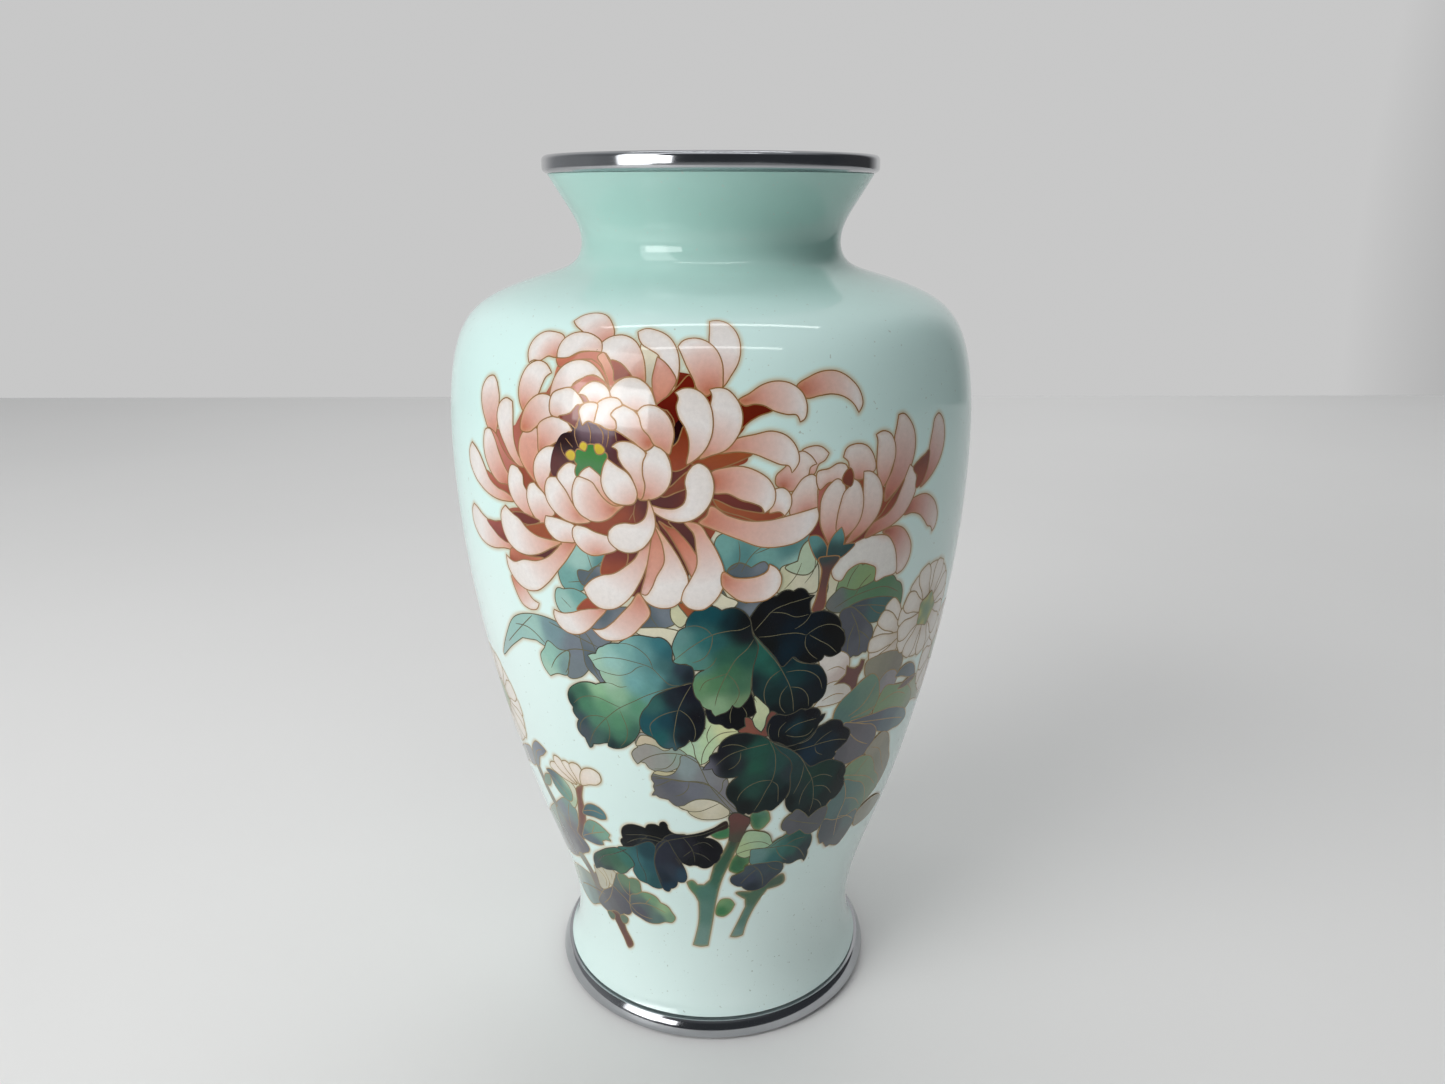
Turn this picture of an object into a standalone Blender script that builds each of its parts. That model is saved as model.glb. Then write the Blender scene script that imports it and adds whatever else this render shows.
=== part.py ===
"""Cloisonne vase: spun copper body, enamel skins, inlaid motifs and two plated rims.

Metres, +Z up, standing on z = 0 with the vase's axis on the origin. The decorated
front faces -Y. Lengths in the tables are millimetres.
"""
import math

import bmesh
import bpy
from mathutils import Vector

# ---------------------------------------------------------------- driving dimensions (mm)
SEGMENTS = 28          # facets round every turned shell
ENAMEL = 1.0           # outer enamel thickness
COPPER = 1.0           # body wall
LINING = 0.6           # enamel lining
GAP = 0.3              # clearance between neighbouring pieces
UNROLL_R = 72.0        # radius at which the motif outlines are drawn flat
FRONT = -90.0          # azimuth of the outlines' x = 0, in degrees

ENAMEL_TOP = 240.2     # where the outer enamel meets the mouth rim
ENAMEL_FOOT = 6.4      # where it meets the foot rim
LIP_TOP = 242.2        # copper lip inside the mouth rim's groove
NECK_SEAM = 217.5      # where the spun neck is soldered to the shoulder
BELLY_SEAM = 140.0     # where the upper and lower body shells are soldered
HEEL = 4.0             # copper heel inside the foot rim's groove
PLATE_Z = 12.0         # underside of the base plate
PLATE = 1.0            # base plate thickness
BASE_SKIN = 0.8        # enamel under the base plate
BEAD = 2.2             # solder bead, width across its top
BEAD_DROP = 1.8        # and depth down the wall
OVERCUT = 1.0          # how far a cutter passes beyond the skin it cuts

# outer profile of the enamel, (radius, height), from mouth to foot
PROFILE = [
    (46.6, 245.0), (43.4, 240.2), (40.6, 236.0), (36.9, 230.0), (35.2, 225.0),
    (35.6, 220.5), (39.5, 217.0), (50.0, 213.3), (58.5, 210.3), (64.3, 206.0),
    (68.4, 200.0), (71.0, 190.0), (72.3, 177.0), (72.1, 165.0), (70.9, 147.0),
    (68.0, 124.0), (63.8, 100.0), (58.0, 77.0), (51.5, 55.0), (46.8, 41.5),
    (44.2, 29.0), (43.5, 20.0), (44.4, 11.5), (46.6, 6.4), (48.9, 1.0)]

# ring sections, down the outside, back up the inside, round the groove
MOUTH_RIM = [
    (43.9, 245.0), (44.45, 244.5), (44.6, 243.8), (44.45, 242.6), (44.0, 241.2),
    (43.6, 240.5), (42.5, 240.5), (43.9, 242.6), (41.75, 242.6), (40.45, 240.5),
    (39.6, 240.5), (41.6, 243.8), (42.2, 244.7), (43.0, 245.0)]
FOOT_RIM = [
    (47.3, 6.1), (48.25, 5.3), (48.75, 4.1), (48.8, 3.0), (48.5, 1.6), (47.8, 0.5),
    (46.9, 0.0), (44.4, 0.0), (43.4, 0.6), (42.7, 1.8), (42.7, 6.1), (43.75, 6.1),
    (44.7, 3.7), (46.6, 3.7), (46.6, 6.1)]

# ---------------------------------------------------------------- motif outlines (mm)
# x runs round the vase from the front centre line, y runs up the surface from the
# foot rim. Earlier pieces lie over later ones.
WHITE = (0.86, 0.78, 0.73)
PINK = (0.83, 0.55, 0.50)
WINE = (0.13, 0.02, 0.015)
BLACK = (0.02, 0.03, 0.05)
NAVY = (0.02, 0.07, 0.10)
TEAL = (0.12, 0.32, 0.32)
GREEN = (0.14, 0.30, 0.17)
VIOLET = (0.30, 0.31, 0.36)
BEIGE = (0.66, 0.62, 0.48)
BROWN = (0.19, 0.07, 0.05)


def rosette(cx, cy, outer, inner, petals):
    """Scalloped outline of a daisy seen from the front."""
    points = []
    for k in range(petals):
        for part, radius in ((0.0, inner), (0.33, outer), (0.67, outer)):
            a = math.tau * (k + part) / petals
            points.append((cx + radius * math.cos(a), cy + radius * math.sin(a)))
    return points


MOTIFS = [
    ("great_bloom_florets", GREEN, [
        (-34, 176.5), (-31.5, 178.5), (-30, 180.5), (-27.5, 179.5), (-25.5, 180), (-23.5, 178),
        (-24, 175.5), (-25.5, 173), (-28, 174.5), (-31, 172.5), (-32, 175)]),
    ("great_bloom_hollow", WINE, [
        (-38, 177), (-35, 182), (-31, 186), (-27, 185.5), (-22, 184), (-17.5, 181.5), (-20, 179),
        (-22.5, 176), (-24.5, 172), (-27, 171), (-32, 171), (-35, 173), (-38.5, 171.5)]),
    ("great_bloom_inner_petals", WHITE, [
        (-48, 176), (-47.5, 181), (-47, 186), (-44, 190), (-38.5, 190), (-38, 196), (-33, 198.5),
        (-27, 197.5), (-22.5, 194.5), (-17, 195.5), (-13, 191.5), (-9, 188), (-8, 184), (-9, 180),
        (-9, 175), (-11.5, 170), (-17, 168), (-22, 165), (-28, 162), (-34, 161), (-39.5, 163.5),
        (-43.5, 167), (-45, 171)]),
    ("great_bloom_outer_petals", PINK, [
        (-38, 208), (-35.5, 211), (-31, 211.5), (-27, 209.5), (-24.5, 205), (-20, 206.5),
        (-16, 207.5), (-11, 205.5), (-8, 203), (-4, 204.5), (0, 203.5), (0, 209.5), (3.5, 209),
        (6.5, 204.5), (6.5, 198), (3.5, 194), (7, 190.5), (13, 194), (20, 193.5), (26, 196),
        (32, 195), (36.5, 190), (35, 186.5), (31, 190), (25, 191), (22, 190), (20, 185.5),
        (13, 188), (7, 184.5), (8, 183), (15, 183.5), (19, 180.5), (19.5, 176), (18, 174),
        (13.5, 174), (14, 168), (18, 165.5), (24.5, 165.5), (23.5, 160), (19, 157), (12, 156.8),
        (3, 160), (3, 151), (13, 152.5), (16, 149.5), (14.5, 145), (8, 143.3), (3, 146.5),
        (-1, 142.3), (-6, 141.8), (-11, 141.8), (-16, 143), (-20, 135), (-25, 132), (-29, 133),
        (-35, 131.8), (-40, 133.5), (-41, 137.5), (-34, 139.5), (-31.5, 145), (-26, 149.5),
        (-24, 156), (-29, 154), (-33, 156), (-38, 150), (-43, 145), (-47, 142), (-46.5, 136.5),
        (-51, 135.3), (-55, 138.5), (-57, 146), (-56, 150.5), (-63, 149), (-70, 150.5),
        (-73.5, 154), (-71.5, 158), (-65, 156.8), (-58, 157.5), (-56.5, 161), (-59, 162.8),
        (-66, 164.2), (-71, 168.5), (-70.5, 174.5), (-63.5, 174.5), (-62, 180), (-65, 186.5),
        (-62, 191.5), (-57.5, 191.5), (-56, 186.5), (-51, 187), (-49.5, 180), (-49, 189),
        (-49, 195), (-48.5, 200), (-45, 204.5), (-39.5, 204), (-35.5, 205.5)]),
    ("side_bloom_calyx", TEAL, [
        (22.8, 157), (24, 158.5), (27, 155.5), (29.5, 159), (31, 160), (32, 156.5), (34.8, 155),
        (32.5, 152.8), (26, 152.5), (23.5, 154.5)]),
    ("side_bloom_petals", PINK, [
        (25, 159), (24.5, 163), (25, 167), (19, 166.5), (17, 170), (15, 173.5), (19, 178),
        (24, 179.8), (27.5, 177.5), (31, 176.5), (34, 179), (38.5, 178.5), (40.5, 181), (45, 180),
        (47.5, 184.5), (51, 183), (52.8, 178), (52, 172), (57, 174), (60, 180.5), (63.5, 183),
        (66, 180), (65.5, 174.5), (61, 169), (55, 166), (58, 164), (63, 161.5), (65, 156.5),
        (63, 153), (60.5, 156), (55, 159), (51, 159.5), (49, 157.5), (53, 154), (54, 149.5),
        (51, 145.5), (45, 145), (41, 149.5), (36, 150), (31, 147), (29, 149.5), (33, 153),
        (36, 156), (33, 157.5), (31, 161), (27.5, 157.5)]),
    ("side_bloom_stalk", BROWN, [
        (25.5, 152), (29.3, 152), (28, 146), (26.8, 139.8), (24.4, 139.8), (25.8, 146)]),
    ("leaf_crown", NAVY, [
        (-6, 139.5), (-4, 142), (0, 142.8), (5, 142.3), (9, 140), (12, 143.5), (16, 145.3),
        (20, 145.8), (23.5, 144), (24.5, 140), (29, 139), (33, 135.5), (34.5, 130), (32, 126.5),
        (27.5, 125.5), (30.5, 121), (30.5, 116), (27, 112.5), (20, 110.5), (15, 112.5),
        (11.5, 116), (11.5, 113), (7.5, 107.5), (2, 109), (-1.2, 111), (-1.5, 114), (-4.5, 118.5),
        (-4.5, 123.5), (-8, 127.5), (-9.5, 131)]),
    ("leaf_west", TEAL, [
        (-9, 133.5), (-14, 134.3), (-20, 133.5), (-26, 130.5), (-32, 126.5), (-30.5, 121),
        (-27, 118.5), (-35, 118), (-41, 113.5), (-41, 109), (-39.5, 102), (-37, 98), (-30, 99),
        (-24.5, 101), (-20.5, 104.5), (-15, 102), (-9.5, 101.5), (-6, 105), (-2.3, 110),
        (-1.5, 115), (-3, 124), (-7, 128)]),
    ("leaf_node", BROWN, [
        (4.5, 79), (6, 81), (9.5, 79.5), (12, 77.5), (11.5, 73), (9.5, 70.5), (6, 70), (5, 74.5)]),
    ("leaf_heart", BLACK, [
        (15.5, 110), (19, 109.8), (25, 111.5), (30, 111), (30.5, 106.5), (36, 106.3), (39.5, 103),
        (41.5, 99.5), (37.5, 93), (41.5, 89), (44, 84), (41, 78), (35, 74), (32, 72), (28, 76),
        (24.5, 79), (23, 82), (19, 80), (13, 79), (8, 81.5), (4.5, 86), (6.5, 92), (1, 94),
        (-2.5, 95), (-0.5, 98.5), (1, 103), (5, 106.5), (10, 106.8), (15.5, 104)]),
    ("main_stem", TEAL, [
        (5, 74.5), (3.5, 68), (0, 60), (-3, 53), (-6, 52), (-10, 52.5), (-8.5, 47), (-5.5, 43),
        (-6.5, 34), (-9.5, 24), (-2.5, 24), (-0.5, 33), (1.5, 46), (4.5, 56), (8, 64), (9.5, 71)]),
    ("second_stem", TEAL, [
        (9, 46.8), (15, 46.8), (23, 51), (27.5, 52), (29, 48.5), (22, 46.5), (18, 40), (15, 33),
        (13.5, 27.5), (8, 27.5), (11, 34), (13.5, 40), (13, 43.5)]),
    ("sprout_low", GREEN, [(1.5, 37.5), (2, 42.5), (5, 44), (8, 42.5), (8.5, 39.5), (5.5, 36.5)]),
    ("sprout_mid", GREEN, [
        (5, 58), (7.5, 64), (11, 64), (14, 62), (12, 58.5), (8.5, 56)]),
    ("sprout_high", GREEN, [
        (11.5, 73), (12.5, 77.5), (15, 79.3), (18, 78.5), (18.5, 74.5), (16, 72.3)]),
    ("leaf_mist", VIOLET, [
        (-3, 110), (2, 109), (8, 107), (1, 103), (-1.5, 97), (-2, 94.5), (4, 91), (4, 86),
        (7.5, 82), (4.5, 80.5), (0, 83.5), (-6, 84), (-10, 82.5), (-14, 84), (-18, 84.5),
        (-17.5, 91.5), (-21, 94.5), (-23, 97), (-21, 103.5), (-15, 101.5), (-9, 101), (-5.5, 104.5)]),
    ("leaf_fold", BEIGE, [
        (-11, 82.5), (-6, 78.5), (-1, 77.3), (4.5, 79.5), (3, 82), (-3, 84)]),
    ("leaf_shade", BLACK, [
        (-34, 61.5), (-33, 66), (-30, 70.5), (-26, 72), (-21.5, 72), (-18, 74.5), (-15, 75),
        (-12.5, 71.8), (-6, 72), (0, 74.5), (4.5, 76), (4, 72.5), (-1, 71), (2.5, 67.5),
        (3, 63), (0, 59), (-4, 58), (-9, 59.5), (-12, 62), (-16, 65), (-22, 66), (-27, 64.5)]),
    ("leaf_lagoon", TEAL, [
        (-35, 61), (-27, 64), (-21, 65.5), (-14, 63.5), (-10.5, 57), (-11.5, 51.5), (-17.5, 46.8),
        (-23, 48), (-30, 50), (-33, 53.5), (-38, 49.5), (-46, 49), (-51, 47), (-52, 49),
        (-48, 54.5), (-41, 59.5)]),
    ("leaf_pale", VIOLET, [
        (-68, 117), (-64, 124.5), (-58, 131), (-50, 134), (-42, 134), (-36, 132), (-30, 129.5),
        (-33, 126.5), (-32, 121), (-35, 119.5), (-42, 118), (-47, 117), (-49.5, 121),
        (-50, 126), (-56, 125.5), (-63, 121.5), (-69, 115)]),
    ("leaf_glade", GREEN, [
        (30, 146.5), (34, 149.3), (38, 150), (42, 148.5), (47, 145), (51, 142), (52.5, 138),
        (50, 135), (44, 132.8), (43, 126), (37, 124.8), (34.5, 128), (33.5, 135), (29, 140.5)]),
    ("bract_star", BROWN, [
        (33.5, 117.5), (36.5, 119), (36.5, 122.2), (39, 121), (42, 123), (41.5, 119), (40.5, 116.5),
        (41, 113.5), (37.5, 116)]),
    ("daisy_east_eye", GREEN, rosette(67.0, 130.0, 4.6, 4.0, 6)),
    ("daisy_east", WHITE, rosette(67.0, 130.0, 14.5, 12.2, 12)),
    ("leaf_meadow", GREEN, [
        (35, 105), (35, 109), (38.5, 113), (45, 116.8), (49, 114), (54, 111.5), (62, 109),
        (69, 105), (71, 99.5), (68, 94.5), (60, 94.5), (54, 99), (47, 102.5), (40, 103.2)]),
    ("daisy_behind", WHITE, [
        (28, 126.3), (33, 127), (36.5, 124.5), (43, 125), (43.5, 132.5), (50, 136.5), (53.5, 133),
        (53.5, 124), (55, 118), (49, 117), (43, 116.5), (38, 113), (33, 112), (29.5, 112),
        (31.5, 118), (30.5, 121.5)]),
    ("leaf_dusk", VIOLET, [
        (39, 104), (47, 102.5), (51, 100.5), (53.8, 97), (53, 92.5), (48, 90), (43, 89.5),
        (38, 93), (41.5, 99.5)]),
    ("leaf_tide", TEAL, [
        (43, 88), (48, 90), (52, 89.5), (57, 86), (63, 79), (66, 73), (58, 69), (57, 64),
        (52, 57), (45, 60.5), (40, 63), (39, 68), (39.5, 76), (42, 79), (44.5, 84)]),
    ("leaf_rim_fold", BEIGE, [
        (52, 91), (56, 95), (61, 93.5), (65, 87), (69, 79), (66, 74), (62, 81), (57, 87)]),
    ("leaf_low_east", TEAL, [
        (9, 65), (9.5, 70), (14, 72), (18.5, 71.5), (21, 66.5), (27, 69), (32, 69), (35.5, 65.5),
        (36.5, 60), (35.5, 56), (29, 57), (26, 55), (25, 51), (21, 47.5), (14, 48.5), (8, 51.5),
        (7.5, 55.5), (12, 58), (14, 62)]),
    ("leaf_low_shade", VIOLET, [
        (23, 72.5), (24, 76), (28, 77), (32, 73), (38.5, 75.5), (38.5, 67.5), (35, 67.5),
        (30, 70), (26, 70)]),
    ("sprig_stem", BROWN, [
        (-44.5, 82), (-48, 79.5), (-50.5, 72), (-53.5, 64), (-57.5, 56), (-60, 49), (-59, 43),
        (-55.5, 37), (-54, 31), (-50, 24), (-45, 17.5), (-41.5, 18.5), (-44.5, 24), (-47, 30),
        (-50.5, 37), (-55, 44), (-55.5, 50), (-53.5, 57), (-49.5, 64), (-46.5, 73), (-45, 79)]),
    ("daisy_west", WHITE, [
        (-58.5, 84), (-56, 88), (-52, 88.8), (-46, 88.8), (-41, 89), (-36.5, 88), (-37, 84.5),
        (-42, 82.5), (-47, 80.5), (-53, 81.5)]),
    ("sprig_leaf_fin", TEAL, [
        (-48, 71), (-46, 74.5), (-42, 75.8), (-38, 74.5), (-37.5, 72), (-41, 70.8)]),
    ("sprig_leaf_fan", GREEN, [
        (-53, 59.5), (-49, 66), (-44, 68.5), (-39, 67), (-39.5, 63), (-43, 60), (-48, 58.8)]),
    ("sprig_leaf_top", TEAL, [
        (-62, 80.5), (-58, 82), (-52, 80.5), (-49, 77), (-50, 73), (-55, 73), (-59.5, 76)]),
    ("sprig_leaf_wing", VIOLET, [
        (-66, 66), (-61, 70.5), (-55, 72.2), (-52, 70), (-53.5, 62), (-57, 54), (-61, 49),
        (-68, 45.5), (-78, 43), (-78, 49), (-72, 57)]),
    ("sprig_leaf_keel", VIOLET, [
        (-36, 49), (-31, 47.5), (-30, 43.5), (-24, 42.5), (-18.5, 38.5), (-17, 34), (-22, 31.5),
        (-30, 30.5), (-38, 32), (-43, 30.5), (-50, 31.5), (-50.5, 36), (-46, 41), (-41, 47)]),
    ("sprig_leaf_tail", TEAL, [
        (-52, 28), (-60, 28.5), (-70, 25), (-80, 26.5), (-75, 33), (-66, 38.5), (-58, 39.5),
        (-55, 34)]),
    ("sprig_fold", BEIGE, [
        (-53, 47), (-48, 49), (-42, 48), (-45, 43), (-50, 38.5), (-54, 42.5)]),
    ("twig_leaf", VIOLET, [
        (-59, 88.5), (-63, 90), (-68, 87.5), (-71, 82), (-70, 78), (-67.5, 80), (-66, 84)]),
    ("daisy_far_eye", GREEN, rosette(-84.0, 98.0, 5.0, 4.4, 6)),
    ("daisy_far", WHITE, rosette(-84.0, 98.0, 15.5, 13.2, 12)),
]


# ---------------------------------------------------------------- scene and small helpers
for old in list(bpy.data.objects):
    bpy.data.objects.remove(old, do_unlink=True)

parts = bpy.data.collections.new("cloisonne_vase")
cutters = bpy.data.collections.new("cutters")
bpy.context.scene.collection.children.link(parts)
bpy.context.scene.collection.children.link(cutters)


def material(name, colour, roughness, metallic):
    mat = bpy.data.materials.new(name)
    mat.use_nodes = True
    shader = mat.node_tree.nodes["Principled BSDF"]
    shader.inputs["Base Color"].default_value = (*colour, 1.0)
    shader.inputs["Roughness"].default_value = roughness
    shader.inputs["Metallic"].default_value = metallic
    return mat


def evaluated_mesh(obj):
    """The object's mesh with its modifiers applied."""
    graph = bpy.context.evaluated_depsgraph_get()
    return bpy.data.meshes.new_from_object(obj.evaluated_get(graph))


def show_as_cutter(obj):
    obj.hide_render = True
    obj.display_type = "WIRE"


def face_outward(bm):
    """Turn a closed body's faces outward, also on thin plates."""
    bmesh.ops.recalc_face_normals(bm, faces=bm.faces)
    if bm.calc_volume(signed=True) < 0.0:
        bmesh.ops.reverse_faces(bm, faces=bm.faces)


# ---------------------------------------------------------------- the profile and its offsets
def mitres(path):
    """For each point, the inward vector that offsets the path by one unit."""
    vectors = []
    for i in range(len(path)):
        before = Vector(path[i]) - Vector(path[max(i - 1, 0)])
        after = Vector(path[min(i + 1, len(path) - 1)]) - Vector(path[i])
        before = (before if before.length else after).normalized()
        after = (after if after.length else before).normalized()
        n1 = Vector((before.y, -before.x))
        n2 = Vector((after.y, -after.x))
        vectors.append((n1 + n2) / (1.0 + n1.dot(n2)))
    return vectors


INWARD = mitres(PROFILE)


def offset_path(depth, top, bottom):
    """The profile moved inward by depth and cut off level at two heights."""
    path = [(r + v.x * depth, z + v.y * depth) for (r, z), v in zip(PROFILE, INWARD)]
    kept = []
    for (r1, z1), (r2, z2) in zip(path, path[1:]):
        for level in (top, bottom):
            if z2 < level <= z1:
                kept.append((r1 + (r2 - r1) * (z1 - level) / (z1 - z2), level))
        if bottom < z2 < top:
            kept.append((r2, z2))
    return sorted(kept, key=lambda point: -point[1])


def turned(name, section, mat, smooth=40.0):
    """Turn a closed (radius, height) section, given down its outer side, into a ring."""
    mesh = bpy.data.meshes.new(name)
    points = [(r * 0.001, 0.0, z * 0.001) for r, z in section]
    edges = [(i, (i + 1) % len(points)) for i in range(len(points))]
    if section[0][0] < 1e-9 and section[-1][0] < 1e-9:
        edges.pop()
    mesh.from_pydata(points, edges, [])
    obj = bpy.data.objects.new(name, mesh)
    parts.objects.link(obj)
    screw = obj.modifiers.new("Turn", "SCREW")
    screw.axis = "Z"
    screw.angle = math.tau
    screw.steps = SEGMENTS
    screw.render_steps = SEGMENTS
    screw.use_merge_vertices = True
    screw.merge_threshold = 0.00001
    obj.data = evaluated_mesh(obj)
    obj.modifiers.clear()
    obj.data.materials.append(mat)
    obj.data.shade_smooth()
    obj.data.set_sharp_from_angle(angle=math.radians(smooth))
    return obj


def shell(name, depth, thickness, top, bottom, mat):
    """A skin that follows the profile between two depths."""
    outer = offset_path(depth, top, bottom)
    inner = offset_path(depth + thickness, top, bottom)
    return turned(name, outer + inner[::-1], mat)


def radius_at(depth, z):
    return offset_path(depth, z, z - 0.01)[0][0]


# ---------------------------------------------------------------- flat motifs, then wrapped
def flat_plate(name, outline, low, high, collection):
    """A flat plate with the outline's shape, between two levels, in metres."""
    curve = bpy.data.curves.new(name, "CURVE")
    curve.dimensions = "2D"
    curve.fill_mode = "BOTH"
    curve.extrude = (high - low) * 0.0005
    spline = curve.splines.new("POLY")
    spline.points.add(len(outline) - 1)
    spline.use_cyclic_u = True
    for point, (x, y) in zip(spline.points, outline):
        point.co = (x * 0.001, y * 0.001, 0.0, 1.0)
    drawn = bpy.data.objects.new(name + "_outline", curve)
    collection.objects.link(drawn)
    drawn.location.z = (high + low) * 0.0005
    bpy.context.view_layer.update()
    mesh = evaluated_mesh(drawn)
    mesh.transform(drawn.matrix_world)
    bpy.data.objects.remove(drawn)
    bm = bmesh.new()
    bm.from_mesh(mesh)
    bmesh.ops.remove_doubles(bm, verts=bm.verts, dist=0.00001)
    face_outward(bm)
    bm.to_mesh(mesh)
    bm.free()
    plate = bpy.data.objects.new(name, mesh)
    collection.objects.link(plate)
    return plate


def grown(outline, distance):
    """The outline moved outward by a distance, with its corners mitred."""
    area = sum(a[0] * b[1] - b[0] * a[1] for a, b in zip(outline, outline[1:] + outline[:1]))
    sign = 1.0 if area > 0 else -1.0
    result = []
    for i, (x, y) in enumerate(outline):
        a = Vector((x, y)) - Vector(outline[i - 1])
        b = Vector(outline[(i + 1) % len(outline)]) - Vector((x, y))
        n1 = Vector((a.y, -a.x)).normalized() * sign
        n2 = Vector((b.y, -b.x)).normalized() * sign
        mitre = (n1 + n2) / max(1.0 + n1.dot(n2), 0.35)
        result.append((x + mitre.x * distance, y + mitre.y * distance))
    return result


def cut(obj, tool):
    """Take the tool away from the object for good."""
    boolean = obj.modifiers.new("Cut", "BOOLEAN")
    boolean.operation = "DIFFERENCE"
    boolean.object = tool
    boolean.solver = "EXACT"
    bpy.context.view_layer.update()
    obj.data = evaluated_mesh(obj)
    obj.modifiers.clear()


def cut_all(obj, collection):
    """Take every object of a collection away in one step."""
    boolean = obj.modifiers.new("Cut", "BOOLEAN")
    boolean.operation = "DIFFERENCE"
    boolean.operand_type = "COLLECTION"
    boolean.collection = collection
    boolean.solver = "EXACT"
    bpy.context.view_layer.update()
    obj.data = evaluated_mesh(obj)
    obj.modifiers.clear()


def keep_largest(obj):
    """Drop the slivers that a cut leaves beside the main body."""
    bm = bmesh.new()
    bm.from_mesh(obj.data)
    bmesh.ops.remove_doubles(bm, verts=bm.verts, dist=0.000002)
    bmesh.ops.dissolve_degenerate(bm, edges=bm.edges, dist=0.000002)
    left = set(bm.faces)
    groups = []
    while left:
        group = {left.pop()}
        front = list(group)
        while front:
            face = front.pop()
            for edge in face.edges:
                for other in edge.link_faces:
                    if other in left:
                        left.discard(other)
                        group.add(other)
                        front.append(other)
        groups.append(group)
    groups.sort(key=lambda g: -sum(f.calc_area() for f in g))
    for group in groups[1:]:
        bmesh.ops.delete(bm, geom=list(group), context="FACES")
    loose = [v for v in bm.verts if not v.link_faces]
    bmesh.ops.delete(bm, geom=loose, context="VERTS")
    bm.to_mesh(obj.data)
    bm.free()


LENGTHS = [0.0]
for lower, upper in zip(PROFILE[::-1], PROFILE[-2::-1]):
    LENGTHS.append(LENGTHS[-1] + (Vector(upper) - Vector(lower)).length)
FOOT_LENGTH = LENGTHS[1]           # surface length is counted from the foot rim's joint
LENGTHS = [length - FOOT_LENGTH for length in LENGTHS]
STEP = math.tau / SEGMENTS


def wrap(obj, shift):
    """Bend a flat plate on to the facets of the shells."""
    bm = bmesh.new()
    bm.from_mesh(obj.data)
    xs = [v.co.x for v in bm.verts]
    ys = [v.co.y for v in bm.verts]
    first = math.floor(min(xs) * 1000.0 / (UNROLL_R * STEP)) - 1
    last = math.ceil(max(xs) * 1000.0 / (UNROLL_R * STEP)) + 1
    lines = [(Vector(((k + shift) * UNROLL_R * STEP * 0.001, 0, 0)), Vector((1, 0, 0)))
             for k in range(first, last)]
    for a, b in zip(LENGTHS, LENGTHS[1:]):
        y = (a + (b - a) * shift) * 0.001
        if min(ys) < y < max(ys):
            lines.append((Vector((0, y, 0)), Vector((0, 1, 0))))
    for point, normal in lines:
        geometry = bm.verts[:] + bm.edges[:] + bm.faces[:]
        bmesh.ops.bisect_plane(bm, geom=geometry, dist=0.000001, plane_co=point, plane_no=normal)
    profile = PROFILE[::-1]
    inward = INWARD[::-1]
    for v in bm.verts:
        length = v.co.y * 1000.0
        row = max(i for i in range(len(LENGTHS) - 1) if LENGTHS[i] <= length + 1e-4 or i == 0)
        t = (length - LENGTHS[row]) / (LENGTHS[row + 1] - LENGTHS[row])
        depth = -v.co.z * 1000.0
        r1 = profile[row][0] + inward[row].x * depth
        z1 = profile[row][1] + inward[row].y * depth
        r2 = profile[row + 1][0] + inward[row + 1].x * depth
        z2 = profile[row + 1][1] + inward[row + 1].y * depth
        radius = r1 + (r2 - r1) * t
        turn = v.co.x * 1000.0 / (UNROLL_R * STEP)
        k = math.floor(turn + 1e-5)
        a1 = math.radians(FRONT) + k * STEP
        a2 = a1 + STEP
        u = turn - k
        v.co = Vector((radius * (math.cos(a1) * (1 - u) + math.cos(a2) * u),
                       radius * (math.sin(a1) * (1 - u) + math.sin(a2) * u),
                       z1 + (z2 - z1) * t)) * 0.001
    face_outward(bm)
    bm.to_mesh(obj.data)
    bm.free()


# ---------------------------------------------------------------- turned pieces
copper = material("copper", (0.72, 0.38, 0.24), 0.35, 1.0)
silver = material("silver_plate", (0.80, 0.80, 0.79), 0.12, 1.0)
mint = material("mint_enamel", (0.58, 0.78, 0.72), 0.08, 0.0)
slate = material("lining_enamel", (0.30, 0.42, 0.42), 0.25, 0.0)
solder = material("silver_solder", (0.62, 0.60, 0.56), 0.4, 1.0)

depth_body = ENAMEL + GAP
depth_lining = depth_body + COPPER + GAP
plate_top = PLATE_Z + PLATE
lining_foot = plate_top + GAP

shell("copper_neck", depth_body, COPPER, LIP_TOP, NECK_SEAM + GAP / 2, copper)
shell("copper_shoulder", depth_body, COPPER, NECK_SEAM - GAP / 2, BELLY_SEAM + GAP / 2, copper)
shell("copper_belly", depth_body, COPPER, BELLY_SEAM - GAP / 2, HEEL, copper)
shell("lining_enamel", depth_lining, LINING, ENAMEL_TOP, lining_foot, slate)
ground = shell("ground_enamel", 0.0, ENAMEL, ENAMEL_TOP, ENAMEL_FOOT, mint)
turned("mouth_rim", MOUTH_RIM, silver)
turned("foot_rim", FOOT_RIM, silver)

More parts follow.
